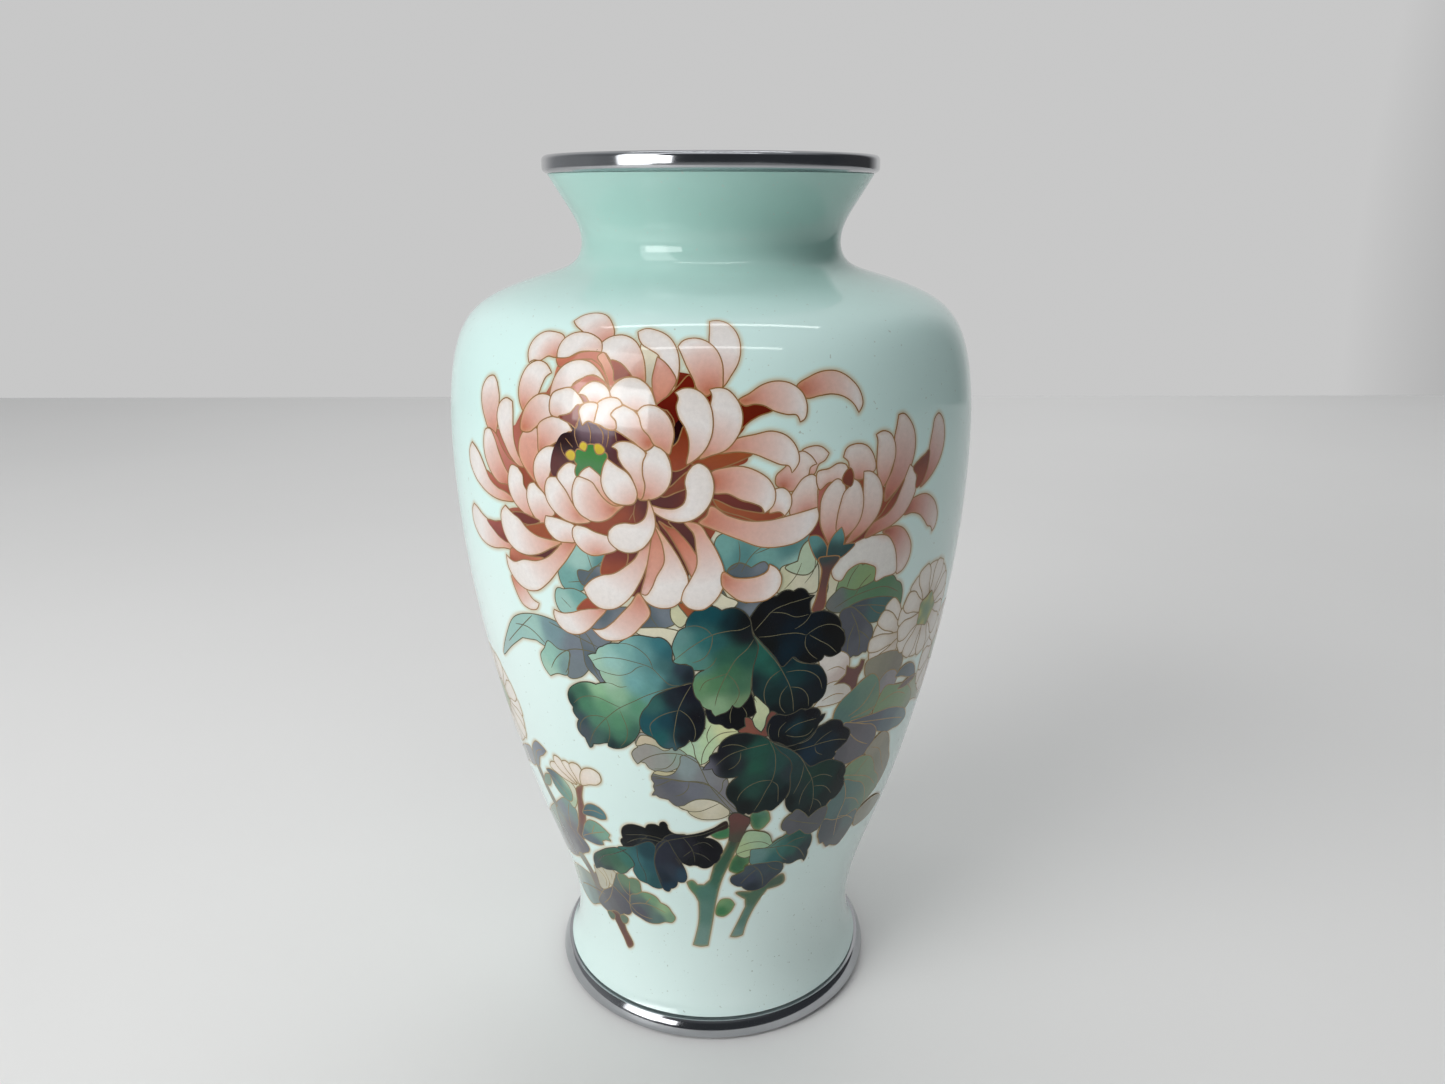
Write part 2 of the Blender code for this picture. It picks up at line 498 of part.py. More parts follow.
plate_r = radius_at(depth_body + COPPER, PLATE_Z + PLATE) - 1.5 * GAP
turned("base_plate", [(0, plate_top), (plate_r, plate_top), (plate_r, PLATE_Z), (0, PLATE_Z)], copper)
floor_r = radius_at(depth_lining + LINING, lining_foot + LINING) - 2.0 * GAP
turned("floor_enamel", [(0, lining_foot + LINING), (floor_r, lining_foot + LINING),
                        (floor_r, lining_foot), (0, lining_foot)], slate)
bead_top = PLATE_Z - GAP
bead_r = radius_at(depth_body + COPPER, bead_top) - 1.5 * GAP
bead_lip = BEAD / 4
turned("solder_bead", [(bead_r, bead_top), (bead_r, bead_top - BEAD_DROP),
                       (bead_r - bead_lip, bead_top - BEAD_DROP), (bead_r - BEAD, bead_top - bead_lip),
                       (bead_r - BEAD, bead_top)], solder)
under_r = bead_r - BEAD - GAP
turned("base_enamel", [(0, bead_top), (under_r, bead_top), (under_r, bead_top - BASE_SKIN),
                       (0, bead_top - BASE_SKIN)], mint)

# ---------------------------------------------------------------- motifs and their windows
laid = []
for name, colour, outline in MOTIFS:
    xs = [x for x, y in outline]
    ys = [y for x, y in outline]
    piece = flat_plate(name, outline, -ENAMEL, 0.0, parts)
    wide = grown(outline, GAP)
    for other_wide, box in laid:
        apart = (box[0] > max(xs) + OVERCUT or box[1] < min(xs) - OVERCUT or
                 box[2] > max(ys) + OVERCUT or box[3] < min(ys) - OVERCUT)
        if not apart:
            tool = flat_plate("tool", other_wide, -ENAMEL - OVERCUT, OVERCUT, cutters)
            cut(piece, tool)
            bpy.data.objects.remove(tool)
    keep_largest(piece)
    wrap(piece, 0.0)
    piece.data.materials.append(material(name, colour, 0.08, 0.0))
    piece.data.shade_smooth()
    piece.data.set_sharp_from_angle(angle=math.radians(40.0))
    laid.append((wide, (min(xs), max(xs), min(ys), max(ys))))

    window = flat_plate(name + "_window", wide, -ENAMEL - OVERCUT, OVERCUT, cutters)
    wrap(window, 0.5)
    show_as_cutter(window)

cut_all(ground, cutters)
keep_largest(ground)
bm = bmesh.new()
bm.from_mesh(ground.data)
bmesh.ops.scale(bm, vec=Vector((1000.0, 1000.0, 1000.0)), verts=bm.verts)
inside = [e for e in bm.edges if all(ENAMEL_FOOT + 0.2 < v.co.z < ENAMEL_TOP - 0.2 for v in e.verts)]
corners = list({v for e in inside for v in e.verts})
bmesh.ops.dissolve_limit(bm, angle_limit=math.radians(0.5), verts=corners, edges=inside)
bmesh.ops.scale(bm, vec=Vector((0.001, 0.001, 0.001)), verts=bm.verts)
bm.to_mesh(ground.data)
bm.free()
ground.data.materials.clear()
ground.data.materials.append(mint)
ground.data.shade_smooth()
ground.data.set_sharp_from_angle(angle=math.radians(40.0))
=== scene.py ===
"""Looks of the cloisonne vase: smooth enamel skins, inlaid motifs, wires and plated rims.

Motifs are drawn flat in millimetres: x runs round the vase from the front centre line,
measured on a cylinder of UNROLL_R, and y runs up the surface from the foot rim.
"""
import math

import bmesh
import bpy
import numpy as np
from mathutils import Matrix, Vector, geometry, kdtree


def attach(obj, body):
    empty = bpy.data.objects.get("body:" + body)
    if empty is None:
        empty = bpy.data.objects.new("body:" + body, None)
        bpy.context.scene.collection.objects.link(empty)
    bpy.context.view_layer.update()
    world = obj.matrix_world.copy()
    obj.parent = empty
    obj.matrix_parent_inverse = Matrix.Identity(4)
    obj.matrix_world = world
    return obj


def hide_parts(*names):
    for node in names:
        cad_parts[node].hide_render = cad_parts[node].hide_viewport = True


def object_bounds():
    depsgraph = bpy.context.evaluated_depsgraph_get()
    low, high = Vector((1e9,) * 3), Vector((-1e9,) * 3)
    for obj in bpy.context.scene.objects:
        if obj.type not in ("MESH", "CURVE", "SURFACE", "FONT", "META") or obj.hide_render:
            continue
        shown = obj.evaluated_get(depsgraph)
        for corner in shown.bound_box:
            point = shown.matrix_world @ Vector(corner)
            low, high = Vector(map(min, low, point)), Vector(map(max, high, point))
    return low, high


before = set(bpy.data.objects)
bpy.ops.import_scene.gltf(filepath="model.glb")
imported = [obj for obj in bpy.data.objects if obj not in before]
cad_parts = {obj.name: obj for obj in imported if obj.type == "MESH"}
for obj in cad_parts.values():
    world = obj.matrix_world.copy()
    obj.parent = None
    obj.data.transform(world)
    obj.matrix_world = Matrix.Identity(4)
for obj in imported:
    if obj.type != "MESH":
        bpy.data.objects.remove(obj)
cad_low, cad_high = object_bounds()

UNROLL_R = 72.0
DESIGN_HEIGHT = 245.0
MM = (cad_high[2] - cad_low[2]) / DESIGN_HEIGHT
ROUND = 192                      # facets round the turned pieces
BODY = "root"

# control points of the enamel's outer profile, (radius, height), foot to mouth
PROFILE = [
    (46.5, 6.1), (44.6, 9.0), (42.4, 18.0), (45.0, 38.0), (54.8, 64.0), (63.0, 95.0),
    (69.8, 130.0), (72.0, 155.0), (72.6, 175.0), (71.2, 192.0), (67.4, 204.0), (59.5, 210.4),
    (45.0, 215.0), (35.0, 217.6), (34.4, 227.3), (39.0, 233.2), (43.4, 240.5)]


# ---------------------------------------------------------------- curves and the surface
def bspline(points, count):
    """Clamped uniform cubic B-spline through its end control points."""
    ctrl = np.array(points, float)
    n = len(ctrl)
    knots = np.concatenate([[0.0] * 3, np.arange(n - 2), [n - 3.0] * 3])
    u = np.linspace(0.0, n - 3.0 - 1e-9, count)
    basis = [((knots[i] <= u) & (u < knots[i + 1])).astype(float) for i in range(len(knots) - 1)]
    for degree in range(1, 4):
        raised = []
        for i in range(len(knots) - 1 - degree):
            left = knots[i + degree] - knots[i]
            right = knots[i + degree + 1] - knots[i + 1]
            term = 0.0
            if left > 0:
                term = term + (u - knots[i]) / left * basis[i]
            if right > 0:
                term = term + (knots[i + degree + 1] - u) / right * basis[i + 1]
            raised.append(term)
        basis = raised
    return sum(np.outer(basis[i], ctrl[i]) for i in range(n))


skin = bspline(PROFILE, 2400)
steps = np.hypot(*np.diff(skin, axis=0).T)
skin_length = np.concatenate([[0.0], np.cumsum(steps)])
tangent = np.gradient(skin, axis=0)
tangent /= np.linalg.norm(tangent, axis=1)[:, None]
skin_normal = np.stack([tangent[:, 1], -tangent[:, 0]], axis=1)
SKIN_TOP = skin_length[-1]


def skin_at(length):
    """Radius, height and outward normal of the skin at lengths along it."""
    columns = (skin[:, 0], skin[:, 1], skin_normal[:, 0], skin_normal[:, 1])
    return [np.interp(length, skin_length, column) for column in columns]


def surface(x, y, height):
    """World points and normals of flat design points, raised by height (all mm)."""
    radius, level, nr, nz = skin_at(np.clip(y, 0.0, SKIN_TOP))
    angle = x / UNROLL_R - math.pi / 2
    r = radius + nr * height
    points = np.stack([r * np.cos(angle), r * np.sin(angle), level + nz * height], axis=-1)
    normals = np.stack([nr * np.cos(angle), nr * np.sin(angle), nz], axis=-1)
    return points * MM, normals


# ---------------------------------------------------------------- materials
GLASS_IOR = 1.52
GLASS_ROUGHNESS = 0.05


def new_material(name, roughness, metallic=0.0):
    """A material of uniform gloss; returns it, its node tree and its shader."""
    mat = bpy.data.materials.new(name)
    mat.use_nodes = True
    shader = mat.node_tree.nodes["Principled BSDF"]
    shader.inputs["Roughness"].default_value = roughness
    shader.inputs["Metallic"].default_value = metallic
    return mat, mat.node_tree, shader


def node(tree, kind, **values):
    made = tree.nodes.new(kind)
    for key, value in values.items():
        setattr(made, key, value)
    return made


def mixed(tree, factor, a, b, blend_type="MIX"):
    """A colour mix; factor, a and b are sockets or constants."""
    mix = node(tree, "ShaderNodeMix", data_type="RGBA", blend_type=blend_type)
    for socket, value in ((mix.inputs[0], factor), (mix.inputs[6], a), (mix.inputs[7], b)):
        if isinstance(value, bpy.types.NodeSocket):
            tree.links.new(value, socket)
        else:
            socket.default_value = value
    return mix.outputs[2]


def noise(tree, scale, detail=2.0, roughness=0.5):
    where = node(tree, "ShaderNodeTexCoord")
    tex = node(tree, "ShaderNodeTexNoise")
    tex.inputs["Scale"].default_value = scale
    tex.inputs["Detail"].default_value = detail
    tex.inputs["Roughness"].default_value = roughness
    tree.links.new(where.outputs["Object"], tex.inputs["Vector"])
    return tex.outputs["Fac"]


def ramp(tree, value, low, high, **kind):
    """Map a value range to 0..1."""
    span = node(tree, "ShaderNodeMapRange", **kind)
    span.inputs["From Min"].default_value = low
    span.inputs["From Max"].default_value = high
    tree.links.new(value, span.inputs["Value"])
    return span.outputs["Result"]


def rising(tree, low, high):
    """A soft step from 0 to 1 between two heights in mm."""
    where = node(tree, "ShaderNodeTexCoord")
    split = node(tree, "ShaderNodeSeparateXYZ")
    tree.links.new(where.outputs["Object"], split.inputs["Vector"])
    return ramp(tree, split.outputs["Z"], low * MM, high * MM, interpolation_type="SMOOTHSTEP")


def mottled(name, grain, span, tones, roughness, metallic=0.0):
    """A surface that drifts between two tones; grain is its noise, span the noise range."""
    mat, tree, shader = new_material(name, roughness, metallic)
    tone = ramp(tree, noise(tree, *grain), *span)
    tree.links.new(mixed(tree, tone, *tones), shader.inputs["Base Color"])
    return mat


MINT = (0.755, 0.910, 0.875, 1.0)
MINT_CLOUD = (0.710, 0.885, 0.845, 1.0)
MINT_HIGH = (0.650, 0.865, 0.825, 1.0)
# round the neck: partly a greener enamel, partly painted shade of the concave neck
NECK_MINT_AND_SHADE = (0.425, 0.660, 0.600, 1.0)
MINT_SPECK = (0.50, 0.62, 0.56, 1.0)
BLEED_BROWN = (0.55, 0.42, 0.23, 1.0)


def mint_colour(tree):
    """Ground enamel: pale on the belly, a little darker above it, and darker and greener round the neck:
    partly a greener enamel, partly painted shade.
    """
    cloud = ramp(tree, noise(tree, 14.0, 3.0), 0.35, 0.65)
    belly = mixed(tree, rising(tree, 110.0, 185.0), mixed(tree, cloud, MINT_CLOUD, MINT), MINT_HIGH)
    return mixed(tree, rising(tree, 205.0, 222.0), belly, NECK_MINT_AND_SHADE)


def mint_material():
    mat, tree, shader = new_material("mint_enamel", GLASS_ROUGHNESS)
    speck = ramp(tree, noise(tree, 1300.0, 0.0), 0.80, 0.86)
    tree.links.new(mixed(tree, speck, mint_colour(tree), MINT_SPECK), shader.inputs["Base Color"])
    shader.inputs["IOR"].default_value = GLASS_IOR
    return mat


def halo_material():
    """Mint ground with the brown bleed that a wire leaves in it."""
    mat, tree, shader = new_material("wire_bleed", GLASS_ROUGHNESS)
    tint = node(tree, "ShaderNodeVertexColor", layer_name="Tint")
    split = node(tree, "ShaderNodeSeparateColor")
    tree.links.new(tint.outputs["Color"], split.inputs["Color"])
    base = mixed(tree, split.outputs["Red"], mint_colour(tree), BLEED_BROWN)
    tree.links.new(base, shader.inputs["Base Color"])
    shader.inputs["IOR"].default_value = GLASS_IOR
    return mat


def enamel_material(name, specular):
    """Glass enamel that takes its colour from the piece, with the grain of ground glass."""
    mat, tree, shader = new_material(name, 0.06)
    tint = node(tree, "ShaderNodeVertexColor", layer_name="Tint")
    grain = ramp(tree, noise(tree, 900.0, 3.0, 0.7), 0.30, 0.70)
    shade = mixed(tree, grain, (0.93, 0.93, 0.93, 1.0), (1.03, 1.03, 1.03, 1.0))
    base = mixed(tree, 1.0, tint.outputs["Color"], shade, "MULTIPLY")
    tree.links.new(base, shader.inputs["Base Color"])
    shader.inputs["IOR"].default_value = GLASS_IOR
    shader.inputs["Specular IOR Level"].default_value = specular
    return mat


def wire_material(name, colour):
    dark = tuple(0.75 * c for c in colour) + (1.0,)
    return mottled(name, (500.0, 2.0), (0.3, 0.7), (dark, tuple(colour) + (1.0,)), 0.25, 0.15)


# ---------------------------------------------------------------- turned pieces
def finish_piece(obj, *nodes):
    bpy.context.scene.collection.objects.link(obj)
    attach(obj, BODY)
    if nodes:
        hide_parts(*nodes)
    return obj


def lathe(name, section, mat, *nodes, count=ROUND):
    """Turn a closed (radius, height) section in mm, given down its outer side, upward inside."""
    points = np.array(section, float)
    angles = np.arange(count) * math.tau / count
    on_axis = points[:, 0] < 1e-6
    verts = []
    index = []
    for (r, z), axial in zip(points, on_axis):
        if axial:
            index.append([len(verts)] * count)
            verts.append((0.0, 0.0, z * MM))
        else:
            index.append(list(range(len(verts), len(verts) + count)))
            verts += [(r * MM * math.cos(a), r * MM * math.sin(a), z * MM) for a in angles]
    faces = []
    rows = len(points)
    for i in range(rows):
        j = (i + 1) % rows
        if on_axis[i] and on_axis[j]:
            continue
        for k in range(count):
            m = (k + 1) % count
            corners = [index[i][k], index[j][k], index[j][m], index[i][m]]
            faces.append(list(dict.fromkeys(corners)))
    mesh = bpy.data.meshes.new(name)
    mesh.from_pydata(verts, [], faces)
    mesh.materials.append(mat)
    mesh.shade_smooth()
    mesh.set_sharp_from_angle(angle=math.radians(35.0))
    return finish_piece(bpy.data.objects.new(name, mesh), *nodes)


def arc(cx, cz, radius, start, end, count):
    """Points of an arc, in degrees, for a section."""
    turn = [math.radians(start + (end - start) * k / (count - 1)) for k in range(count)]
    return [(cx + radius * math.cos(a), cz + radius * math.sin(a)) for a in turn]


def skin_section(outer_depth, thickness, low, high, count):
    """A closed section that follows the skin between two depths and two surface lengths."""
    lengths = np.linspace(high, low, count)
    r, z, nr, nz = skin_at(lengths)
    inner_depth = outer_depth + thickness
    outer = list(zip(r - outer_depth * nr, z - outer_depth * nz))
    inner = list(zip(r - inner_depth * nr, z - inner_depth * nz))
    return outer + inner[::-1]


mint = mint_material()
silver = mottled("silver_plate", (60.0, 4.0), (0.3, 0.7),
                 ((0.42, 0.43, 0.45, 1.0), (0.50, 0.51, 0.53, 1.0)), 0.10, 1.0)
copper = mottled("bare_copper", (35.0, 4.0), (0.3, 0.7),
                 ((0.55, 0.25, 0.15, 1.0), (0.72, 0.40, 0.27, 1.0)), 0.38, 1.0)
solder = mottled("silver_solder", (300.0, 3.0), (0.3, 0.7),
                 ((0.46, 0.44, 0.40, 1.0), (0.66, 0.64, 0.60, 1.0)), 0.42, 1.0)
lining = mottled("counter_enamel", (260.0, 4.0, 0.7), (0.35, 0.65),
                 ((0.26, 0.38, 0.37, 1.0), (0.36, 0.50, 0.48, 1.0)), 0.22)

lathe("ground", skin_section(0.0, 1.0, 0.4, SKIN_TOP - 0.2, 220), mint, "ground_enamel")
lathe("lining", skin_section(2.6, 0.6, 8.5, SKIN_TOP - 0.2, 160), lining, "lining_enamel")
lathe("mouth_band", arc(43.3, 243.7, 1.3, 90, 0, 7) + arc(43.5, 241.8, 1.1, 0, -68, 6)
      + [(43.5, 240.5), (39.7, 240.5), (40.1, 241.6), (41.0, 243.1)]
      + arc(42.7, 243.8, 1.2, 170, 95, 6), silver, "mouth_rim")
lathe("foot_band", arc(41.17, 0.76, 8.0, 40, 12, 9) + arc(47.43, 2.09, 1.6, 12, -60, 8)
      + [(46.9, 0.02), (44.6, 0.02)] + arc(44.4, 1.4, 1.4, 262, 180, 6) + [(43.0, 5.7)],
      silver, "foot_rim")

for name, mat in (("copper_neck", copper), ("copper_shoulder", copper), ("copper_belly", copper),
                  ("base_plate", copper), ("solder_bead", solder), ("floor_enamel", lining),
                  ("base_enamel", mint)):
    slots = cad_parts[name].data.materials
    slots.clear()
    slots.append(mat)


# ---------------------------------------------------------------- flat drawing tools
DISPLAY_GAMMA = 2.2


def rgb(r, g, b):
    """A display colour as linear red, green, blue."""
    return np.array([(c / 255.0) ** DISPLAY_GAMMA for c in (r, g, b)])


def smooth_line(points, closed, spacing):
    """Points along a curve through given points; a third value of 1 marks a corner."""
    where = np.array([p[:2] for p in points], float)
    corner = [len(p) > 2 and p[2] == 1 for p in points]
    n = len(where)
    last = n if closed else n - 1
    chord = [np.linalg.norm(where[(i + 1) % n] - where[i]) + 1e-9 for i in range(n)]
    slope = []
    for i in range(n):
        if not closed and i in (0, n - 1):
            slope.append(None)
            continue
        back = (where[i] - where[i - 1]) / chord[i - 1]
        ahead = (where[(i + 1) % n] - where[i]) / chord[i]
        slope.append((back * chord[i] + ahead * chord[i - 1]) / (chord[i] + chord[i - 1]))
    result = []
    for i in range(last):
        j = (i + 1) % n
        span = chord[i]
        step = (where[j] - where[i]) / span
        sharp_i = corner[i] or slope[i] is None
        sharp_j = corner[j] or slope[j] is None
        m0 = slope[i] if not sharp_i else None
        m1 = slope[j] if not sharp_j else None
        if m0 is None and m1 is None:
            m0 = m1 = step
        elif m0 is None:
            m0 = 1.5 * step - 0.5 * m1
        elif m1 is None:
            m1 = 1.5 * step - 0.5 * m0
        count = max(2, int(math.ceil(span / spacing)))
        for k in range(count):
            t = k / count
            h = (2 * t ** 3 - 3 * t ** 2 + 1, t ** 3 - 2 * t ** 2 + t,
                 3 * t ** 2 - 2 * t ** 3, t ** 3 - t ** 2)
            result.append(h[0] * where[i] + h[1] * span * m0 + h[2] * where[j] + h[3] * span * m1)
    if not closed:
        result.append(where[-1])
    return np.array(result)


def inside(points, loop):
    """Which points lie inside a closed loop."""
    x, y = points[:, 0][:, None], points[:, 1][:, None]
    x1, y1 = loop[:, 0], loop[:, 1]
    x2, y2 = np.roll(x1, -1), np.roll(y1, -1)
    crossing = ((y1 > y) != (y2 > y)) & (x < (x2 - x1) * (y - y1) / (y2 - y1 + 1e-12) + x1)
    return crossing.sum(axis=1) % 2 == 1


def edge_distance(points, loop):
    """Distance from each point to a closed loop."""
    a = loop
    b = np.roll(loop, -1, axis=0)
    ab = b - a
    ap = points[:, None, :] - a[None, :, :]
    t = np.clip((ap * ab).sum(-1) / ((ab * ab).sum(-1) + 1e-12), 0.0, 1.0)
    return np.linalg.norm(ap - t[..., None] * ab, axis=-1).min(axis=1)


def notched(points, least=24.0):
    """Make a corner of every point where a lobed outline turns inward."""
    where = np.array([p[:2] for p in points])
    ahead = np.roll(where, -1, axis=0) - where
    back = where - np.roll(where, 1, axis=0)
    turn = np.degrees(np.arctan2(back[:, 0] * ahead[:, 1] - back[:, 1] * ahead[:, 0],
                                 (back * ahead).sum(axis=1)))
    side = 1.0 if turn.sum() > 0 else -1.0
    return [(x, y, 1 if sharp or side * t < -least else 0)
            for (x, y, sharp), t in zip(points, turn)]


def smoothstep(low, high, value):
    t = np.clip((value - low) / (high - low), 0.0, 1.0)
    return t * t * (3.0 - 2.0 * t)


# ---------------------------------------------------------------- how enamel is coloured
def along(stops):
    """A colour ramp, (place, colour) from 0 to 1."""
    places = [p for p, _ in stops]
    table = np.array([c for _, c in stops])

    def colour(t):
        return np.stack([np.interp(t, places, table[:, k]) for k in range(3)], axis=-1)
    return colour


WASH_FALL = 1.9                  # how fast a spot of colour gives way to the next
WASH_SOFT = 3.0                  # mm squared that softens the middle of a spot


def edge_blend(colour, points, loop, edge, reach, share):
    """Blend towards a line colour within reach of the wires."""
    near = share * (1.0 - smoothstep(0.0, reach, edge_distance(points, loop)))[:, None]
    return colour * (1.0 - near) + edge * near


def petal_paint(root, ramp_colour, edge):
    """Colour from a petal's root to its farthest point, with a warm line at the wires."""
    def paint(points, loop):
        reach = np.linalg.norm(loop - np.array(root), axis=1).max()
        t = np.linalg.norm(points - np.array(root), axis=1) / reach
        return edge_blend(ramp_colour(t), points, loop, edge, 0.9, 0.45)
    return paint


def wash_paint(spots, edge=None):
    """Enamels that run into one another between (x, y, colour) spots."""
    places = np.array([s[:2] for s in spots], float)
    colours = np.array([s[2] for s in spots])

    def paint(points, loop):
        gap = ((points[:, None, :] - places[None, :, :]) ** 2).sum(-1) + WASH_SOFT
        weight = gap ** -WASH_FALL
        colour = weight @ colours / weight.sum(axis=1)[:, None]
        return colour if edge is None else edge_blend(colour, points, loop, edge, 1.0, 0.5)
    return paint


# ---------------------------------------------------------------- inlaid pieces
LOWEST = 0.02                    # mm from the ground to the lowest enamel's top
LAYER = 0.012                    # each overlapping enamel lies this much higher
SUNK = 0.35                      # how far an enamel reaches into the ground
WIRE_SUNK = 0.15                 # how deep a wire is
OUTLINE_STEP = 0.55              # mm between the points of an outline
VEIN_STEP = 0.6
PITCH = 0.9                      # mm between the points inside an enamel
laid = []                        # (outline, low corner, high corner, layer) of each enamel so far
enamel = enamel_material("motif_enamel", 0.45)
leaf_enamel = enamel_material("leaf_enamel", 0.12)
halo = halo_material()


def next_layer(loop):
    """One more than the highest layer under a new outline."""
    low, high = loop.min(axis=0), loop.max(axis=0)
    level = 0
    for other, other_low, other_high, number in laid:
        if number < level or (low > other_high).any() or (high < other_low).any():
            continue
        if inside(loop, other).any() or inside(other, loop).any():
            level = number + 1
    laid.append((loop, low, high, level))
    return level


def plate_mesh(name, flat, tris, top, tints, mat):
    """A thin closed plate on the skin from flat points and triangles."""
    count = len(flat)
    upper, normals = surface(flat[:, 0], flat[:, 1], top)
    lower, _ = surface(flat[:, 0], flat[:, 1], -SUNK)
    used = {(t[k - 1], t[k]) for t in tris for k in range(len(t))}
    rim = [(a, b) for a, b in sorted(used) if (b, a) not in used]
    faces = [tuple(t) for t in tris]
    faces += [tuple(v + count for v in reversed(t)) for t in tris]
    tops = len(tris)
    faces += [(b, a, a + count, b + count) for a, b in rim]
    mesh = bpy.data.meshes.new(name)
    mesh.from_pydata(np.concatenate([upper, lower]).tolist(), [], faces)
    mesh.materials.append(mat)
    layer = mesh.color_attributes.new("Tint", "FLOAT_COLOR", "POINT")
    data = np.ones((2 * count, 4))
    data[:count, :3] = tints
    data[count:, :3] = tints
    layer.data.foreach_set("color", data.ravel())
    mesh.shade_smooth()
    custom = []
    for poly in mesh.polygons:
        if poly.index < tops:
            custom += [tuple(normals[v]) for v in poly.vertices]
        elif poly.index < 2 * tops:
            custom += [tuple(-normals[v - count]) for v in poly.vertices]
        else:
            custom += [tuple(poly.normal)] * len(poly.vertices)
    mesh.normals_split_custom_set(custom)
    return mesh


def fill_loop(loop, pitch):
    """Triangulate the inside of a loop with evenly spread points."""
    low, high = loop.min(axis=0), loop.max(axis=0)
    rows = []
    for k, y in enumerate(np.arange(low[1] + pitch / 2, high[1], pitch * 0.87)):
        start = low[0] + pitch * (0.25 if k % 2 else 0.75)
        xs = np.arange(start, high[0], pitch)
        rows.append(np.stack([xs, np.full(len(xs), y)], axis=-1))
    inner = np.concatenate(rows) if rows else np.zeros((0, 2))
    inner = inner[inside(inner, loop)]
    if len(inner):
        inner = inner[edge_distance(inner, loop) > 0.45 * pitch]
    points = [Vector(p) for p in np.concatenate([loop, inner])]
    ring = [(i, (i + 1) % len(loop)) for i in range(len(loop))]
    found = geometry.delaunay_2d_cdt(points, ring, [], 1, 1e-5)
    flat = np.array([tuple(v) for v in found[0]])
    tris = []
    for a, b, c in found[2]:
        p, q, r = flat[a], flat[b], flat[c]
        turn = (q[0] - p[0]) * (r[1] - p[1]) - (q[1] - p[1]) * (r[0] - p[0])
        tris.append((a, b, c) if turn > 0 else (a, c, b))
    return flat, tris


def cell(name, outline, paint, replaced=None, mat=enamel):
    """One inlaid enamel; returns its loop and the height of its top."""
    loop = smooth_line(outline, True, OUTLINE_STEP)
    top = LOWEST + LAYER * next_layer(loop)
    flat, tris = fill_loop(loop, PITCH)
    mesh = plate_mesh(name, flat, tris, top, paint(flat, loop), mat)
    finish_piece(bpy.data.objects.new(name, mesh), *([replaced] if replaced else []))
    return loop, top


def ribbon_edges(line, closed, width):
    """The left and right edges of a flat strip along a line."""
    if closed:
        ahead = np.roll(line, -1, axis=0) - line
        back = line - np.roll(line, 1, axis=0)
    else:
        ahead = np.concatenate([line[1:] - line[:-1], line[-1:] - line[-2:-1]])
        back = np.concatenate([line[1:2] - line[:1], line[1:] - line[:-1]])
    ahead /= np.linalg.norm(ahead, axis=1)[:, None] + 1e-12
    back /= np.linalg.norm(back, axis=1)[:, None] + 1e-12
    side = ahead + back
    side /= np.linalg.norm(side, axis=1)[:, None] + 1e-12
    side = np.stack([-side[:, 1], side[:, 0]], axis=-1)
    widths = np.broadcast_to(np.asarray(width, float), (len(line),))[:, None] / 2.0
    return line + side * widths, line - side * widths


def strips(name, lines, mat):
    """One object of thin closed strips; lines are (line, closed, width, top)."""
    verts, faces, normals = [], [], []
    for line, closed, width, top in lines:
        left, right = ribbon_edges(line, closed, width)
        base = sum(len(v) for v in verts)
        n = len(line)
        upper_left, nl = surface(left[:, 0], left[:, 1], top)
        upper_right, nr = surface(right[:, 0], right[:, 1], top)
        lower_left, _ = surface(left[:, 0], left[:, 1], top - WIRE_SUNK)
        lower_right, _ = surface(right[:, 0], right[:, 1], top - WIRE_SUNK)
        verts += [upper_left, upper_right, lower_right, lower_left]
        normals += [nl, nr, -nr, -nl]
        for i in range(n if closed else n - 1):
            j = (i + 1) % n
            for a, b in ((0, 1), (1, 2), (2, 3), (3, 0)):
                faces.append((base + a * n + i, base + b * n + i, base + b * n + j, base + a * n + j))
        if not closed:
            faces.append(tuple(base + a * n for a in (3, 2, 1, 0)))
            faces.append(tuple(base + a * n + n - 1 for a in (0, 1, 2, 3)))
    mesh = bpy.data.meshes.new(name)
    mesh.from_pydata(np.concatenate(verts).tolist(), [], faces)
    mesh.materials.append(mat)
    normals = np.concatenate(normals)
    mesh.shade_smooth()
    custom = []
    for poly in mesh.polygons:
        flatness = abs(poly.normal.dot(Vector(normals[poly.vertices[0]])))
        if flatness > 0.9:
            custom += [tuple(normals[v]) for v in poly.vertices]
        else:
            custom += [tuple(poly.normal)] * len(poly.vertices)
    mesh.normals_split_custom_set(custom)
    return finish_piece(bpy.data.objects.new(name, mesh))


# ---------------------------------------------------------------- motif helpers
def spots(text):
    """Read 'x,y x,yc ...' given points; a trailing c marks a corner."""
    points = []
    for token in text.split():
        sharp = token.endswith("c")
        x, y = token.rstrip("c").split(",")
        points.append((float(x), float(y), 1 if sharp else 0))
    return points


WIRE_GOLD = wire_material("gold_wire", rgb(160, 136, 92))
WIRE_BROWN = wire_material("brown_wire", rgb(160, 118, 72))
WIRE_FINE = wire_material("fine_wire", rgb(104, 100, 72))
WIRE_DARK = wire_material("dark_wire", rgb(66, 64, 48))
RING_LIFT = 0.005                # mm that a wire stands over its enamel
VEIN_LIFT = 0.004
motif_rings = []                 # wires round the enamels of the motif being drawn
motif_veins = []                 # and the fine wires on them


def ring(loop, top, width=0.3):
    motif_rings.append((loop, True, width, top + RING_LIFT))


